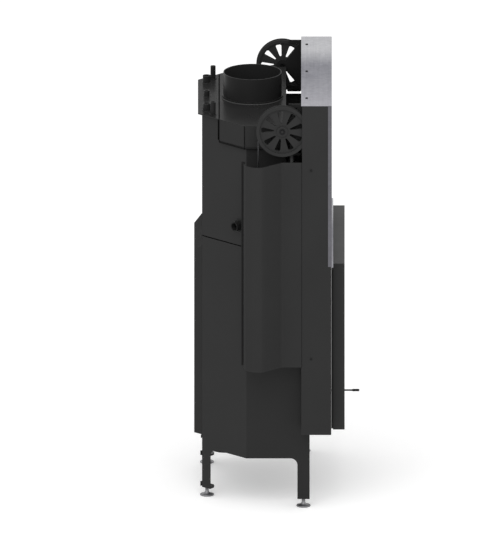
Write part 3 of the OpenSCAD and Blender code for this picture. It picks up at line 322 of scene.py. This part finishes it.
def castMaterial(name):
    material, tree, shader = newMaterial(name, Specular_IOR_Level=0.4)
    sand = noise(tree, objectPoint(tree), castLook["sand"], detail=6.0, roughness=0.7)
    tone = castLook["tone"]
    rusty = (tone * 1.5, tone * 1.45, tone * 1.4, 1)
    feed(tree, shader.inputs["Base Color"], mixColours(tree, sand, grey(tone * 0.6), rusty))
    feed(tree, shader.inputs["Roughness"], ramp(tree, sand, low=0.3, high=0.7, fromValue=0.55, toValue=0.8))
    addBump(tree, shader, sand, strength=0.5, distance=castLook["sandDepth"])
    return material


# Pressed refractory bricks: cream with specks and pores
brickLook = {"pale": (0.62, 0.54, 0.42, 1), "deep": (0.46, 0.38, 0.28, 1), "speck": (0.30, 0.24, 0.18, 1),
             "clouds": 18.0, "specks": 260.0, "pores": 500.0, "poreDepth": 0.001}

def brickMaterial(name):
    material, tree, shader = newMaterial(name, Specular_IOR_Level=0.25)
    point = objectPoint(tree)
    cloud = noise(tree, point, brickLook["clouds"], detail=5.0, roughness=0.6)
    specks = noise(tree, point, brickLook["specks"], detail=3.0, roughness=0.7)
    specks = ramp(tree, specks, low=0.62, high=0.68)
    colour = mixColours(tree, cloud, brickLook["deep"], brickLook["pale"])
    feed(tree, shader.inputs["Base Color"], mixColours(tree, specks, colour, brickLook["speck"]))
    feed(tree, shader.inputs["Roughness"], ramp(tree, cloud, low=0.3, high=0.7, fromValue=0.8, toValue=0.95))
    pores = noise(tree, point, brickLook["pores"], detail=4.0, roughness=0.7)
    height = maths(tree, "SUBTRACT", pores, maths(tree, "MULTIPLY", specks, 0.6))
    addBump(tree, shader, height, strength=0.45, distance=brickLook["poreDepth"])
    return material


# Ceramic glass, lightly smoked in broad clouds
glassLook = {"smoked": (0.60, 0.57, 0.53, 1), "clear": (0.74, 0.72, 0.69, 1), "clouds": 7.0}

def glassMaterial(name):
    material, tree, shader = newMaterial(name, Transmission_Weight=1.0, IOR=1.5)
    cloud = noise(tree, objectPoint(tree), glassLook["clouds"], detail=4.0)
    feed(tree, shader.inputs["Base Color"], mixColours(tree, cloud, glassLook["smoked"], glassLook["clear"]))
    feed(tree, shader.inputs["Roughness"], ramp(tree, cloud, low=0.3, high=0.7, fromValue=0.01, toValue=0.04))
    return material


# Glass-fibre rope: pale yarn with dark joints between its strands, along the piece's own UV map
ropeLook = {"yarn": (0.42, 0.41, 0.38, 1), "joint": (0.16, 0.155, 0.145, 1), "crossings": 5.0, "rows": 190.0,
            "fibres": 2500.0, "fibreShare": 0.3, "depth": 0.0008}

def ropeMaterial(name):
    # yarn shows where |sin(along + around) * sin(along - around)| is well above 0
    material, tree, shader = newMaterial(name, Roughness=0.9, Specular_IOR_Level=0.15)
    uv = split(tree, tree.nodes.new("ShaderNodeUVMap").outputs[0])
    along = maths(tree, "MULTIPLY", uv["X"], ropeLook["rows"] * 2 * math.pi)
    around = maths(tree, "MULTIPLY", uv["Y"], ropeLook["crossings"] * 2 * math.pi)
    weave = maths(tree, "MULTIPLY", maths(tree, "SINE", maths(tree, "ADD", along, around)),
                  maths(tree, "SINE", maths(tree, "SUBTRACT", along, around)))
    yarn = ramp(tree, maths(tree, "ABSOLUTE", weave), low=0.0, high=0.35)
    feed(tree, shader.inputs["Base Color"], mixColours(tree, yarn, ropeLook["joint"], ropeLook["yarn"]))
    fibre = noise(tree, objectPoint(tree), ropeLook["fibres"], detail=2.0)
    height = maths(tree, "ADD", yarn, maths(tree, "MULTIPLY", fibre, ropeLook["fibreShare"]))
    addBump(tree, shader, height, strength=0.6, distance=ropeLook["depth"])
    return material


finish = {name: paintMaterial(name, *values) for name, values in paints.items()}
finish.update({name: platedMaterial(name, *values) for name, values in platings.items()})
for name, make in {"galvanised sheet": galvanisedMaterial, "cast iron": castMaterial, "refractory": brickMaterial,
                   "ceramic glass": glassMaterial, "glass-fibre rope": ropeMaterial}.items():
    finish[name] = make(name)
print("finishes made:", len(finish))

# Parts of the frame by finish; those that no list names have the body paint
partsOf = {
    "black paint": ("jacket_hood", "smoke_shelf", "firebox_shell", "front_sheet", "front_plate", "hearth_plate",
                    "tube_plates", "exchanger_tubes", "flue_collar", "water_sockets", "sensor_sockets",
                    "door_carriage", "door_leaf", "door_handle", "wheel_brackets", "guide_posts",
                    "housing_screws", "cooling_loop", "header_rail"),
    "housing paint": ("weight_casings", "housing_panel_left", "housing_panel_right", "housing_floor",
                      "wheel_left", "wheel_right"),
    "lid paint with painted top shade": ("dome_box", "jacket_top"), "leg paint with painted light": ("leg_plates", "base_plate"),
    "duct paint with painted top shade": ("rear_duct",), "frame paint": ("front_frame",), "blackened steel": ("axles", "leg_bolts"),
    "zinc plating": ("air_flap", "air_rod", "hinge_pins"), "dull zinc": ["foot_" + corner for corner in feet],
    "cable wire": ("cable_loops", "cables_front", "cable_weight_left", "cable_weight_right"),
    "cast iron": ("grate", "log_guard", "weight_left", "weight_right"),
    "refractory": ("wall_lining", "floor_bricks", "baffle"), "galvanised sheet": ("front_cover",),
    "ceramic glass": ("door_glass",), "glass-fibre rope": ("door_seal",)}
finishOf = dict.fromkeys(node, finish["body paint"])
for kind, names in partsOf.items():
    finishOf.update(dict.fromkeys(names, finish[kind]))
for name, part in node.items():
    part.data.materials.clear()
    part.data.materials.append(finishOf[name])


# New pieces: profiles carried along paths, as grids of points

def gridFaces(rows, columns, rowLoop=False, columnLoop=True):
    # quads between neighbouring lines of a grid; a loop joins its last line to its first
    r = np.arange(rows if rowLoop else rows - 1)[:, None]
    c = np.arange(columns if columnLoop else columns - 1)[None, :]
    nextR, nextC = (r + 1) % rows, (c + 1) % columns
    corners = (r * columns + c, r * columns + nextC, nextR * columns + nextC, nextR * columns + c)
    return np.stack(np.broadcast_arrays(*corners), -1).reshape(-1, 4).tolist()


def addThing(name, data):
    thing = bpy.data.objects.new(name, data)
    bpy.context.scene.collection.objects.link(thing)
    return thing


def addPiece(name, points, faces, material, body, uv=None):
    mesh = bpy.data.meshes.new(name)
    mesh.from_pydata(points.reshape(-1, 3).tolist(), [], faces)
    mesh.shade_smooth()
    if uv is not None:
        corners = np.empty(len(mesh.loops), int)
        mesh.loops.foreach_get("vertex_index", corners)
        mesh.uv_layers.new(name="weave").data.foreach_set("uv", uv.reshape(-1, 2)[corners].ravel())
    mesh.materials.append(finish[material])
    piece = addThing(name, mesh)
    if body:
        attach(piece, body)
    return piece


def alongPath(path, across, radii, loop=False):
    # point = path + radius * (cos(angle) * across + sin(angle) * (along x across)),
    # with one row of radii for each point of the path
    along = np.roll(path, -1, 0) - np.roll(path, 1, 0) if loop else np.gradient(path, axis=0)
    along /= np.linalg.norm(along, axis=1, keepdims=True)
    across = np.broadcast_to(np.asarray(across, float), path.shape)
    side = np.cross(along, across)
    angle = np.linspace(0, 2 * np.pi, radii.shape[1], endpoint=False)
    ring = np.cos(angle)[None, :, None] * across[:, None] + np.sin(angle)[None, :, None] * side[:, None]
    return path[:, None] + radii[..., None] * ring


def closedTube(points):
    # side faces of an open tube and one face over each end
    rows, columns = points.shape[:2]
    ends = [list(range(columns))[::-1], list(range((rows - 1) * columns, rows * columns))]
    return gridFaces(rows, columns) + ends


def turned(centre, axis, profile, steps):
    # surface of revolution: rows of (distance along the axis, radius) turned about the axis through centre
    axis = np.asarray(axis, float) / np.linalg.norm(axis)
    other = np.cross(axis, (0.0, 0.0, 1.0) if abs(axis[2]) < 0.9 else (1.0, 0.0, 0.0))
    other /= np.linalg.norm(other)
    profile = np.asarray(profile, float)
    path = np.asarray(centre, float) + profile[:, :1] * axis
    angle = np.linspace(0, 2 * np.pi, steps, endpoint=False)
    ring = np.cos(angle)[None, :, None] * other + np.sin(angle)[None, :, None] * np.cross(axis, other)
    return path[:, None] + profile[:, 1][:, None, None] * ring


def straightPath(start, end, step):
    share = np.linspace(0, 1, max(2, int(np.linalg.norm(np.subtract(end, start)) / step) + 1))[:, None]
    return np.asarray(start) * (1 - share) + np.asarray(end) * share


# Wire rope: a round bar whose radius dips between six strands that wind round it,
# radius = r * (1 - dip * (1 - |cos(3 * (angle - 2 pi * distance / lay))|))
wireRope = {"radius": 0.002, "dip": 0.22, "lay": 0.014, "step": 0.0016, "around": 24}

def ropeAlong(name, path, body):
    gaps = np.linalg.norm(np.diff(path, axis=0), axis=1)
    distance = np.concatenate([[0.0], np.cumsum(gaps)])
    angle = np.linspace(0, 2 * np.pi, wireRope["around"], endpoint=False)
    wound = angle[None] - 2 * np.pi * distance[:, None] / wireRope["lay"]
    radii = wireRope["radius"] * (1 - wireRope["dip"] * (1 - np.abs(np.cos(3 * wound))))
    points = alongPath(path, (1.0, 0.0, 0.0), radii)
    return addPiece(name, points, closedTube(points), "cable wire", body)


def makeCables():
    # half a turn over each wheel, point = axis + reach * (cos(turn) along Y, sin(turn) up), and two straight
    # falls, one to the door and one to the weight, each ending in a ferrule that rides on the body it hangs on
    for side, mark in sides.items():
        axis = np.array(joint["wheel_%s_turn" % mark]["pos_m"], float)
        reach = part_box("cable_loops")[1][2] - axis[2] - wireRope["radius"]
        turn = np.linspace(0, np.pi, int(np.pi * reach / wireRope["step"]))
        bow = [np.full_like(turn, axis[0]), axis[1] + reach * np.cos(turn), axis[2] + reach * np.sin(turn)]
        overWheel = ropeAlong("cableOverWheel_" + side, np.stack(bow, 1), "insert")
        falls = (("cableToDoor_", -reach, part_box("cables_front")[0][2], "door"),
                 ("cableToWeight_", reach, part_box("cable_weight_" + side)[0][2], "weight_" + mark))
        for name, shift, bottom, body in falls:
            top = np.array([axis[0], axis[1] + shift, axis[2]])
            end = np.array([axis[0], axis[1] + shift, bottom])
            fall = ropeAlong(name + side, straightPath(top, end, wireRope["step"]), None)
            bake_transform(fall)
            if body == "door":
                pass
            else:
                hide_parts("cable_weight_" + side)
            makeFerrule(name.replace("cable", "ferrule") + side, end, body)
        if side == "left":
            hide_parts("cable_loops")
    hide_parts("cables_front")


# Pressed sleeve on a cable's end: a barrel whose shoulders are quarter circles
ferrule = {"radius": 0.0036, "length": 0.016, "shoulder": 0.0016, "mouth": 0.0005, "steps": 6, "around": 32}

def makeFerrule(name, place, body):
    t = np.linspace(0, np.pi / 2, ferrule["steps"])
    r, h, c, mouth = (ferrule[key] for key in ("radius", "length", "shoulder", "mouth"))
    lower = np.stack([c - c * np.cos(t), r - c + c * np.sin(t)], 1)
    upper = np.stack([h - c + c * np.sin(t), r - c + c * np.cos(t)], 1)
    profile = np.concatenate([[[0.0, mouth]], lower, upper, [[h, mouth]]])
    points = turned(place, (0, 0, 1), profile, ferrule["around"])
    addPiece(name, points, closedTube(points), "zinc plating", body)


makeCables()
print("cables made")


# Rope seal: a round rope on a rectangle with round corners; its radius swells where two strands cross,
# radius = r * (1 - dip * (1 - |sin(2 * angle + w) * sin(2 * angle - w)|)), where w = 2 pi * distance / plait
ropeSeal = {"cornerRadius": 0.022, "cornerSteps": 12, "radius": 0.00455, "dip": 0.07, "plait": 0.011,
            "step": 0.0015, "around": 20}

def roundedRectangle(low, high, y, radius, step):
    # corner arcs joined by straight lines, then spaced evenly
    quarter = np.linspace(0, np.pi / 2, ropeSeal["cornerSteps"])
    centres = ((high[0] - radius, high[1] - radius), (low[0] + radius, high[1] - radius),
               (low[0] + radius, low[1] + radius), (high[0] - radius, low[1] + radius))
    turns = [quarter + k * np.pi / 2 for k in range(4)]
    arcs = [np.stack([x + radius * np.cos(turn), z + radius * np.sin(turn)], 1)
            for (x, z), turn in zip(centres, turns)]
    outline = np.concatenate(arcs + [arcs[0][:1]])
    distance = np.concatenate([[0.0], np.cumsum(np.linalg.norm(np.diff(outline, axis=0), axis=1))])
    even = np.linspace(0, distance[-1], int(distance[-1] / step), endpoint=False)
    x, z = np.interp(even, distance, outline[:, 0]), np.interp(even, distance, outline[:, 1])
    return np.stack([x, np.full_like(x, y), z], 1), even, distance[-1]


def makeSeal():
    low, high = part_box("door_seal")
    inset = ropeSeal["radius"]
    path, distance, total = roundedRectangle(
        (low[0] + inset, low[2] + inset), (high[0] - inset, high[2] - inset), (low[1] + high[1]) / 2,
        ropeSeal["cornerRadius"], ropeSeal["step"])
    angle = np.linspace(0, 2 * np.pi, ropeSeal["around"], endpoint=False)
    wound = distance[:, None] * 2 * np.pi / ropeSeal["plait"]
    crossing = np.abs(np.sin(2 * angle[None] + wound) * np.sin(2 * angle[None] - wound))
    radii = ropeSeal["radius"] * (1 - ropeSeal["dip"] * (1 - crossing))
    points = alongPath(path, (0.0, 1.0, 0.0), radii, loop=True)
    uv = np.stack(np.broadcast_arrays(distance[:, None] / total, angle[None] / (2 * np.pi)), -1)
    faces = gridFaces(*points.shape[:2], rowLoop=True)
    seal = addPiece("ropeSeal", points, faces, "glass-fibre rope", "door", uv)
    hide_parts("door_seal")


makeSeal()
print("rope seal made")


# Weld beads: a ring whose radius swells at every ripple, radius = r * (1 + rise * |sin(pi * distance / ripple)|)
weldBead = {"rise": 0.22, "ripple": 0.0042, "step": 0.0008, "around": 12}
weldPlaces = {"collarGap": 0.0002, "collarBead": 0.0017, "socketWall": 0.0035, "socketGap": 0.0008,
              "socketBead": 0.0018, "flange": 0.022, "flangeGap": 0.0006, "flangeBead": 0.0014, "flangeSunkMm": 6}

def makeWeld(name, centre, axis, ringRadius, beadRadius, material):
    axis = np.asarray(axis, float) / np.linalg.norm(axis)
    count = int(2 * np.pi * ringRadius / weldBead["step"])
    circle = turned(centre, axis, [[0.0, ringRadius]], count)[0]
    distance = np.arange(count) * 2 * np.pi * ringRadius / count
    swell = 1 + weldBead["rise"] * np.abs(np.sin(np.pi * distance / weldBead["ripple"]))
    radii = beadRadius * swell[:, None] * np.ones(weldBead["around"])
    points = alongPath(circle, axis, radii, loop=True)
    addPiece(name, points, gridFaces(*points.shape[:2], rowLoop=True), material, "insert")


def makeWelds():
    domeTop = float(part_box("dome_box")[1][2])
    mounts = {m["name"]: m for m in frame["record"]["mounts"]}
    x, y, _ = mounts["flue_collar"]["pos_m"]
    low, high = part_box("flue_collar")
    ring = (high[0] - low[0]) / 2 + weldPlaces["collarGap"]
    # the collar's weld is much paler than the body paint: a painted highlight round the collar's foot
    makeWeld("weldCollar", (x, y, domeTop), (0, 0, 1), ring, weldPlaces["collarBead"], "weld paint with painted highlight")
    for name in ("flow_socket_left", "flow_socket_right", "vent_socket"):
        x, y, _ = mounts[name]["pos_m"]
        ring = mounts[name]["dims"]["r_mm"] / 1000 + weldPlaces["socketWall"] + weldPlaces["socketGap"]
        makeWeld("weld_" + name, (x, y, domeTop), (0, 0, 1), ring, weldPlaces["socketBead"], "body paint")
    ring = weldPlaces["flange"] + weldPlaces["flangeGap"]
    for name in ("sensor_socket_left", "sensor_socket_right"):
        mount = mounts[name]
        outward = np.array(mount["axis"], float)
        sunk = outward * 0.5 * (mount["dims"]["length_mm"] - weldPlaces["flangeSunkMm"]) / 1000
        makeWeld("weld_" + name, np.array(mount["pos_m"]) - sunk, outward, ring, weldPlaces["flangeBead"],
                 "body paint")


makeWelds()
print("welds made")


# Flattened beads over the joints of the dome, the duct and the casings: dark ones of painted shade in the dome's
# seam, grooves and corners and at the casings' rear edges, and thin ones in the duct's own paint
seal = {"seamWide": 0.0024, "seamThick": 0.0009, "seamHalf": 0.2790, "grooveWide": 0.0028, "grooveThick": 0.0008,
        "grooveDrop": 0.0024, "cornerWide": 0.0015, "cornerTop": 0.001, "frontEnd": 0.01, "ductWide": 0.0008,
        "ductLow": 0.001, "ductTop": 0.002, "around": 12, "step": 0.004, "ripple": 0.06, "wave": 0.017}
casingShadeStrip = {"x": 0.4135, "wide": 0.0044, "thick": 0.0018, "behind": 0.0030, "low": 0.004, "top": 0.001}

def makeBead(name, start, end, across, wide, thick, material, ripple=seal["ripple"]):
    # an ellipse whose half axes are wide, along across, and thick, the other way, both times
    # (1 + ripple * sin(2 pi * distance / wave))
    path = straightPath(start, end, seal["step"])
    distance = np.linalg.norm(path - path[0], axis=1)
    swell = 1 + ripple * np.sin(2 * np.pi * distance / seal["wave"])
    angle = np.linspace(0, 2 * np.pi, seal["around"], endpoint=False)
    oval = wide * thick / np.hypot(thick * np.cos(angle), wide * np.sin(angle))
    points = alongPath(path, across, swell[:, None] * oval)
    addPiece(name, points, closedTube(points), material, "insert")


def planCorners(name, directions=360, apart=0.004):
    # corners of a part's outline seen from above: the vertices that lie farthest in each of many directions
    mesh = node[name].data
    points = np.empty(len(mesh.vertices) * 3)
    mesh.vertices.foreach_get("co", points)
    flat = points.reshape(-1, 3)[:, :2]
    turn = np.linspace(0, 2 * np.pi, directions, endpoint=False)
    corners = flat[np.argmax(flat @ np.stack([np.cos(turn), np.sin(turn)]), axis=0)]
    return corners[np.linalg.norm(corners - np.roll(corners, 1, 0), axis=1) > apart]


def makeShadeAndDuctBeads():
    alongX, alongY, alongZ = (1.0, 0.0, 0.0), (0.0, 1.0, 0.0), (0.0, 0.0, 1.0)
    low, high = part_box("dome_box")
    seamY = (high[1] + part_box("jacket_top")[0][1]) / 2
    half, wide = seal["seamHalf"], seal["cornerWide"]
    # painted shade: a dark bead in the seam between the jacket top and the dome
    makeBead("seamShadeBead", (-half, seamY, high[2]), (half, seamY, high[2]), alongY, seal["seamWide"],
             seal["seamThick"], "dark paste of painted shade")
    corners = planCorners("dome_box")
    height = low[2] - seal["grooveDrop"] + seal["grooveWide"] / 2
    # painted shade: dark beads in the groove under the dome's lower edge and up its corners
    for number, start in enumerate(corners):
        end = corners[(number + 1) % len(corners)]
        makeBead("grooveShadeBead_%d" % number, (*start, height), (*end, height), alongZ, seal["grooveWide"],
                 seal["grooveThick"], "dark paste of painted shade")
        if abs(start[0]) > half and start[1] > low[1] + seal["frontEnd"]:
            makeBead("cornerShadeBead_%d" % number, (*start, height), (*start, high[2] - seal["cornerTop"]), alongX,
                     wide, wide, "dark paste of painted shade")
    low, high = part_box("rear_duct")
    wide = seal["ductWide"]
    for side, x in (("left", low[0]), ("right", high[0])):
        bottom, top = (x, low[1], low[2] + seal["ductLow"]), (x, low[1], high[2] - seal["ductTop"])
        makeBead("ductBead_" + side, bottom, top, alongX, wide, wide, "duct paint with painted top shade")
    # painted shade: a dark strip behind each casing's rear edge, where shade falls on the wall
    low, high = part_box("weight_casings")
    y, bottom, top = high[1] + casingShadeStrip["behind"], low[2] + casingShadeStrip["low"], high[2] - casingShadeStrip["top"]
    for side, x in (("left", -casingShadeStrip["x"]), ("right", casingShadeStrip["x"])):
        makeBead("casingShadeStrip_" + side, (x, y, bottom), (x, y, top), alongY, casingShadeStrip["wide"],
                 casingShadeStrip["thick"], "dark strip of painted shade", 0.0)


makeShadeAndDuctBeads()
print("dark paste of painted shade and edge strips made")


# Plates on the wheel brackets, and a thin pale one on the left bracket's strap that paints light on the strap
# where it lies in shade
bracketPlate = {"outer": 0.4002, "thickness": 0.0028, "rear": -0.0355, "front": -0.0835, "low": 1.2670,
                "high": 1.2900, "chamfer": 0.003}
paintedLightStrap = {"outer": 0.3975, "thickness": 0.0007, "rear": -0.0455, "front": -0.0565, "low": 1.1650,
             "high": 1.2665, "chamfer": 0.0008}

def chamferedPlate(name, form, sign, material):
    # a rectangle in Y and Z whose four corners are cut at 45 degrees, carried along X from outer to inner
    rear, front, low, high, cut = (form[key] for key in ("rear", "front", "low", "high", "chamfer"))
    y = np.array([front + cut, rear - cut, rear, rear, rear - cut, front + cut, front, front])
    z = np.array([low, low, low + cut, high - cut, high, high, high - cut, low + cut])
    outer = sign * form["outer"]
    ends = sorted((outer, outer - sign * form["thickness"]))
    points = np.stack([np.stack([np.full(8, x), y, z], 1) for x in ends])
    addPiece(name, points, closedTube(points), material, "insert")


chamferedPlate("bracketPlate_left", bracketPlate, -1, "black paint")
chamferedPlate("bracketPlate_right", bracketPlate, 1, "black paint")
# a pale sheet that paints light on the shaded strap
chamferedPlate("paintedLightStrap", paintedLightStrap, -1, "strap paint with painted light")
print("bracket plates made")


# Threads of the levelling feet: radius = core + height * triangle(distance / pitch - angle / (2 pi)),
# faded out over one pitch at both ends
footThread = {"core": 0.00555, "height": 0.0007, "pitch": 0.00175, "step": 0.00025, "around": 32,
              "spans": ((0.0212, 0.0288), (0.0353, 0.0645))}

def makeThreads():
    angle = np.linspace(0, 2 * np.pi, footThread["around"], endpoint=False)
    for corner, mark in feet.items():
        low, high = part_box("foot_" + corner)
        x, y = (low[0] + high[0]) / 2, (low[1] + high[1]) / 2
        for number, (bottom, top) in enumerate(footThread["spans"]):
            z = np.arange(bottom, top, footThread["step"])
            phase = (z[:, None] / footThread["pitch"] - angle[None] / (2 * np.pi)) % 1.0
            fade = np.clip(np.minimum(z - bottom, top - z) / footThread["pitch"], 0, 1)[:, None]
            radii = footThread["core"] + footThread["height"] * fade * (1 - np.abs(2 * phase - 1))
            path = np.stack([np.full_like(z, x), np.full_like(z, y), z], 1)
            points = alongPath(path, (1.0, 0.0, 0.0), radii)
            addPiece("footThread_%s_%d" % (corner, number), points, closedTube(points), "dull zinc",
                     "foot_" + mark)


makeThreads()
print("threads made")


# Ends of the wheels' axles: a grey end domed as a quarter ellipse, and a dark retaining ring, a circle of wire
# with a gap
axleEnd = {"radius": 0.0047, "dome": 0.0010, "sunk": 0.0002, "tip": 0.0001, "domeSteps": 10, "around": 40}
retainingRing = {"radius": 0.0062, "wire": 0.0006, "gap": 0.9, "inside": 0.0012, "steps": 60, "around": 12}

def makeAxleEnds():
    low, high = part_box("axles")
    t = np.linspace(0, np.pi / 2, axleEnd["domeSteps"])
    dome = [axleEnd["dome"] * np.sin(t), np.maximum(axleEnd["radius"] * np.cos(t), axleEnd["tip"])]
    profile = np.concatenate([[[-axleEnd["sunk"], axleEnd["radius"]]], np.stack(dome, 1)])
    gap, radius = retainingRing["gap"] / 2, retainingRing["radius"]
    angle = np.linspace(gap, 2 * np.pi - gap, retainingRing["steps"])
    for name, sign, end in (("left", -1, low[0]), ("right", 1, high[0])):
        _, y, z = joint["wheel_%s_turn" % sides[name]]["pos_m"]
        points = turned((end, y, z), (sign, 0, 0), profile, axleEnd["around"])
        addPiece("axleEnd_" + name, points, closedTube(points), "axle steel", "insert")
        x = np.full_like(angle, end - sign * retainingRing["inside"])
        ring = np.stack([x, y + radius * np.cos(angle), z + radius * np.sin(angle)], 1)
        radii = np.full((len(ring), retainingRing["around"]), retainingRing["wire"])
        points = alongPath(ring, (1.0, 0.0, 0.0), radii)
        addPiece("retainingRing_" + name, points, closedTube(points), "blackened steel", "insert")


makeAxleEnds()
print("axle ends made")


# Door handle along the depth: radius = rod + (grip - rod) * smooth step over the shoulder
# - ringDepth * sin(pi * rings * share of the grip) ^ 2, rounded at its end as a half circle
handleForm = {"rod": 0.0028, "grip": 0.0043, "gripLength": 0.027, "shoulder": 0.006, "ringDepth": 0.00035,
              "rings": 3, "ringStart": 0.008, "ringMargins": 0.014, "tip": 0.0004, "steps": 160, "around": 40}

def makeHandle():
    low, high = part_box("door_handle")
    x, z = (low[0] + high[0]) / 2, (low[2] + high[2]) / 2
    length, grip, rod = high[1] - low[1], handleForm["grip"], handleForm["rod"]
    s = np.linspace(0, length, handleForm["steps"])
    start = length - handleForm["gripLength"]
    shoulder = np.clip((s - start) / handleForm["shoulder"], 0, 1)
    radius = rod + (grip - rod) * shoulder * shoulder * (3 - 2 * shoulder)
    ringed = handleForm["gripLength"] - handleForm["ringMargins"]
    inGrip = np.clip((s - start - handleForm["ringStart"]) / ringed, 0, 1)
    radius = radius - handleForm["ringDepth"] * np.sin(np.pi * handleForm["rings"] * inGrip) ** 2
    left = np.clip((length - s) / grip, 0, 1)
    radius = radius * np.sqrt(np.clip(1 - (1 - left) ** 2, handleForm["tip"], 1))
    points = turned((x, high[1], z), (0, -1, 0), np.stack([s, radius], 1), handleForm["around"])
    handle = addPiece("handleRod", points, closedTube(points), "black paint", "leaf")
    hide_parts("door_handle")


makeHandle()
print("handle made")


# Rounded copies of the thick pieces: their arrises are broken by this many metres
arrises = {"front_frame": 0.0009, "door_leaf": 0.0007, "weight_left": 0.0025, "weight_right": 0.0025,
           "wall_lining": 0.0022, "floor_bricks": 0.0022, "baffle": 0.0030, "grate": 0.0011, "log_guard": 0.0009}
rounding = {"segments": 2, "sharpAngle": 32.0, "flatAngle": 0.4, "mergeStep": 1e-6}

def roundedCopy(name, width):
    # corners that lie on one spot are merged and flat triangles joined before the edges are rounded
    source = node[name].data
    points = np.empty(len(source.vertices) * 3)
    source.vertices.foreach_get("co", points)
    points = points.reshape(-1, 3)
    corners = np.empty(len(source.loops), int)
    source.loops.foreach_get("vertex_index", corners)
    _, first, spot = np.unique(np.round(points / rounding["mergeStep"]).astype(int), axis=0,
                               return_index=True, return_inverse=True)
    faces = spot.ravel()[corners].reshape(-1, 3)
    whole = (faces[:, 0] != faces[:, 1]) & (faces[:, 1] != faces[:, 2]) & (faces[:, 2] != faces[:, 0])
    mesh = bpy.data.meshes.new(name + "Rounded")
    mesh.from_pydata(points[first].tolist(), [], faces[whole].tolist())
    work = bmesh.new()
    work.from_mesh(mesh)
    flat = math.radians(rounding["flatAngle"])
    bmesh.ops.dissolve_limit(work, angle_limit=flat, verts=work.verts, edges=work.edges)
    work.to_mesh(mesh)
    work.free()
    mesh.materials.append(finishOf[name])
    piece = addThing(name + "Rounded", mesh)
    bevel = piece.modifiers.new("arrises", "BEVEL")
    bevel.width, bevel.segments, bevel.limit_method = width, rounding["segments"], "ANGLE"
    bevel.angle_limit = math.radians(rounding["sharpAngle"])
    body = next(b for b, names in frame["record"]["behaviour"]["bodies"].items() if name in names)
    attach(piece, body)
    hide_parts(name)


for name, width in arrises.items():
    roundedCopy(name, width)
print("arrises rounded")


# Floor, light and camera. The photograph shows no perspective, so the camera has none
stageLook = {"floorTone": 0.9, "floorGlow": 0.30, "floorReach": 60, "worldLight": 0.85}
softLamp = {"place": (-3.4, 0.6, 3.6), "target": (0, 0, 0.7), "size": (3, 3), "energy": 60}
cameraView = {"distance": 12.0, "elevation": 16.0, "target": (0.0, 0.0920, 0.7316), "pictureHeight": 1.8755}

def makeFloor():
    # a flat grid of three by three points that glows for the camera and in reflections
    reach = np.linspace(-stageLook["floorReach"], stageLook["floorReach"], 3)
    x, y = (a.ravel() for a in np.meshgrid(reach, reach))
    mesh = bpy.data.meshes.new("floor")
    mesh.from_pydata(np.stack([x, y, np.zeros_like(x)], 1).tolist(), [], gridFaces(3, 3, columnLoop=False))
    material, tree, shader = newMaterial("pale floor", Roughness=1.0, Specular_IOR_Level=0.0,
                                         Base_Color=grey(stageLook["floorTone"]))
    light = tree.nodes.new("ShaderNodeLightPath").outputs
    seen = maths(tree, "MAXIMUM", light["Is Camera Ray"], light["Is Glossy Ray"])
    glow = put(tree, "ShaderNodeEmission", Strength=maths(tree, "MULTIPLY", seen, stageLook["floorGlow"]))
    both = put(tree, "ShaderNodeAddShader", in0=shader.outputs[0], in1=glow.outputs[0])
    feed(tree, tree.nodes["Material Output"].inputs[0], both.outputs[0])
    mesh.materials.append(material)
    addThing("floor", mesh)


def makeWorld():
    world = bpy.data.worlds.new("white room")
    world.use_nodes = True
    tree = world.node_tree
    background = tree.nodes["Background"].inputs
    background["Color"].default_value = (1, 1, 1, 1)
    light = tree.nodes.new("ShaderNodeLightPath").outputs
    seen = maths(tree, "MAXIMUM", light["Is Camera Ray"], light["Is Glossy Ray"])
    seen = maths(tree, "MAXIMUM", seen, light["Is Transmission Ray"])
    feed(tree, background["Strength"], ramp(tree, seen, low=0.0, high=1.0, fromValue=stageLook["worldLight"]))
    bpy.context.scene.world = world


def aim(thing, place, target):
    thing.location = place
    thing.rotation_euler = (Vector(target) - Vector(place)).to_track_quat("-Z", "Y").to_euler()


def makeLamp():
    lamp = bpy.data.lights.new("soft lamp", "AREA")
    lamp.shape, lamp.energy = "RECTANGLE", softLamp["energy"]
    lamp.size, lamp.size_y = softLamp["size"]
    aim(addThing("soft lamp", lamp), softLamp["place"], softLamp["target"])


def makeCamera():
    camera = addThing("camera", bpy.data.cameras.new("camera"))
    tilt = math.radians(cameraView["elevation"])
    away = Vector((-math.cos(tilt), 0, math.sin(tilt))) * cameraView["distance"]
    aim(camera, Vector(cameraView["target"]) + away, cameraView["target"])
    camera.data.type = "ORTHO"
    camera.data.ortho_scale = cameraView["pictureHeight"]
    camera.data.clip_end = 2 * cameraView["distance"]
    bpy.context.scene.camera = camera


makeFloor()
makeWorld()
makeLamp()
makeCamera()
bpy.context.scene.view_settings.view_transform = "Standard"
print("stage set")
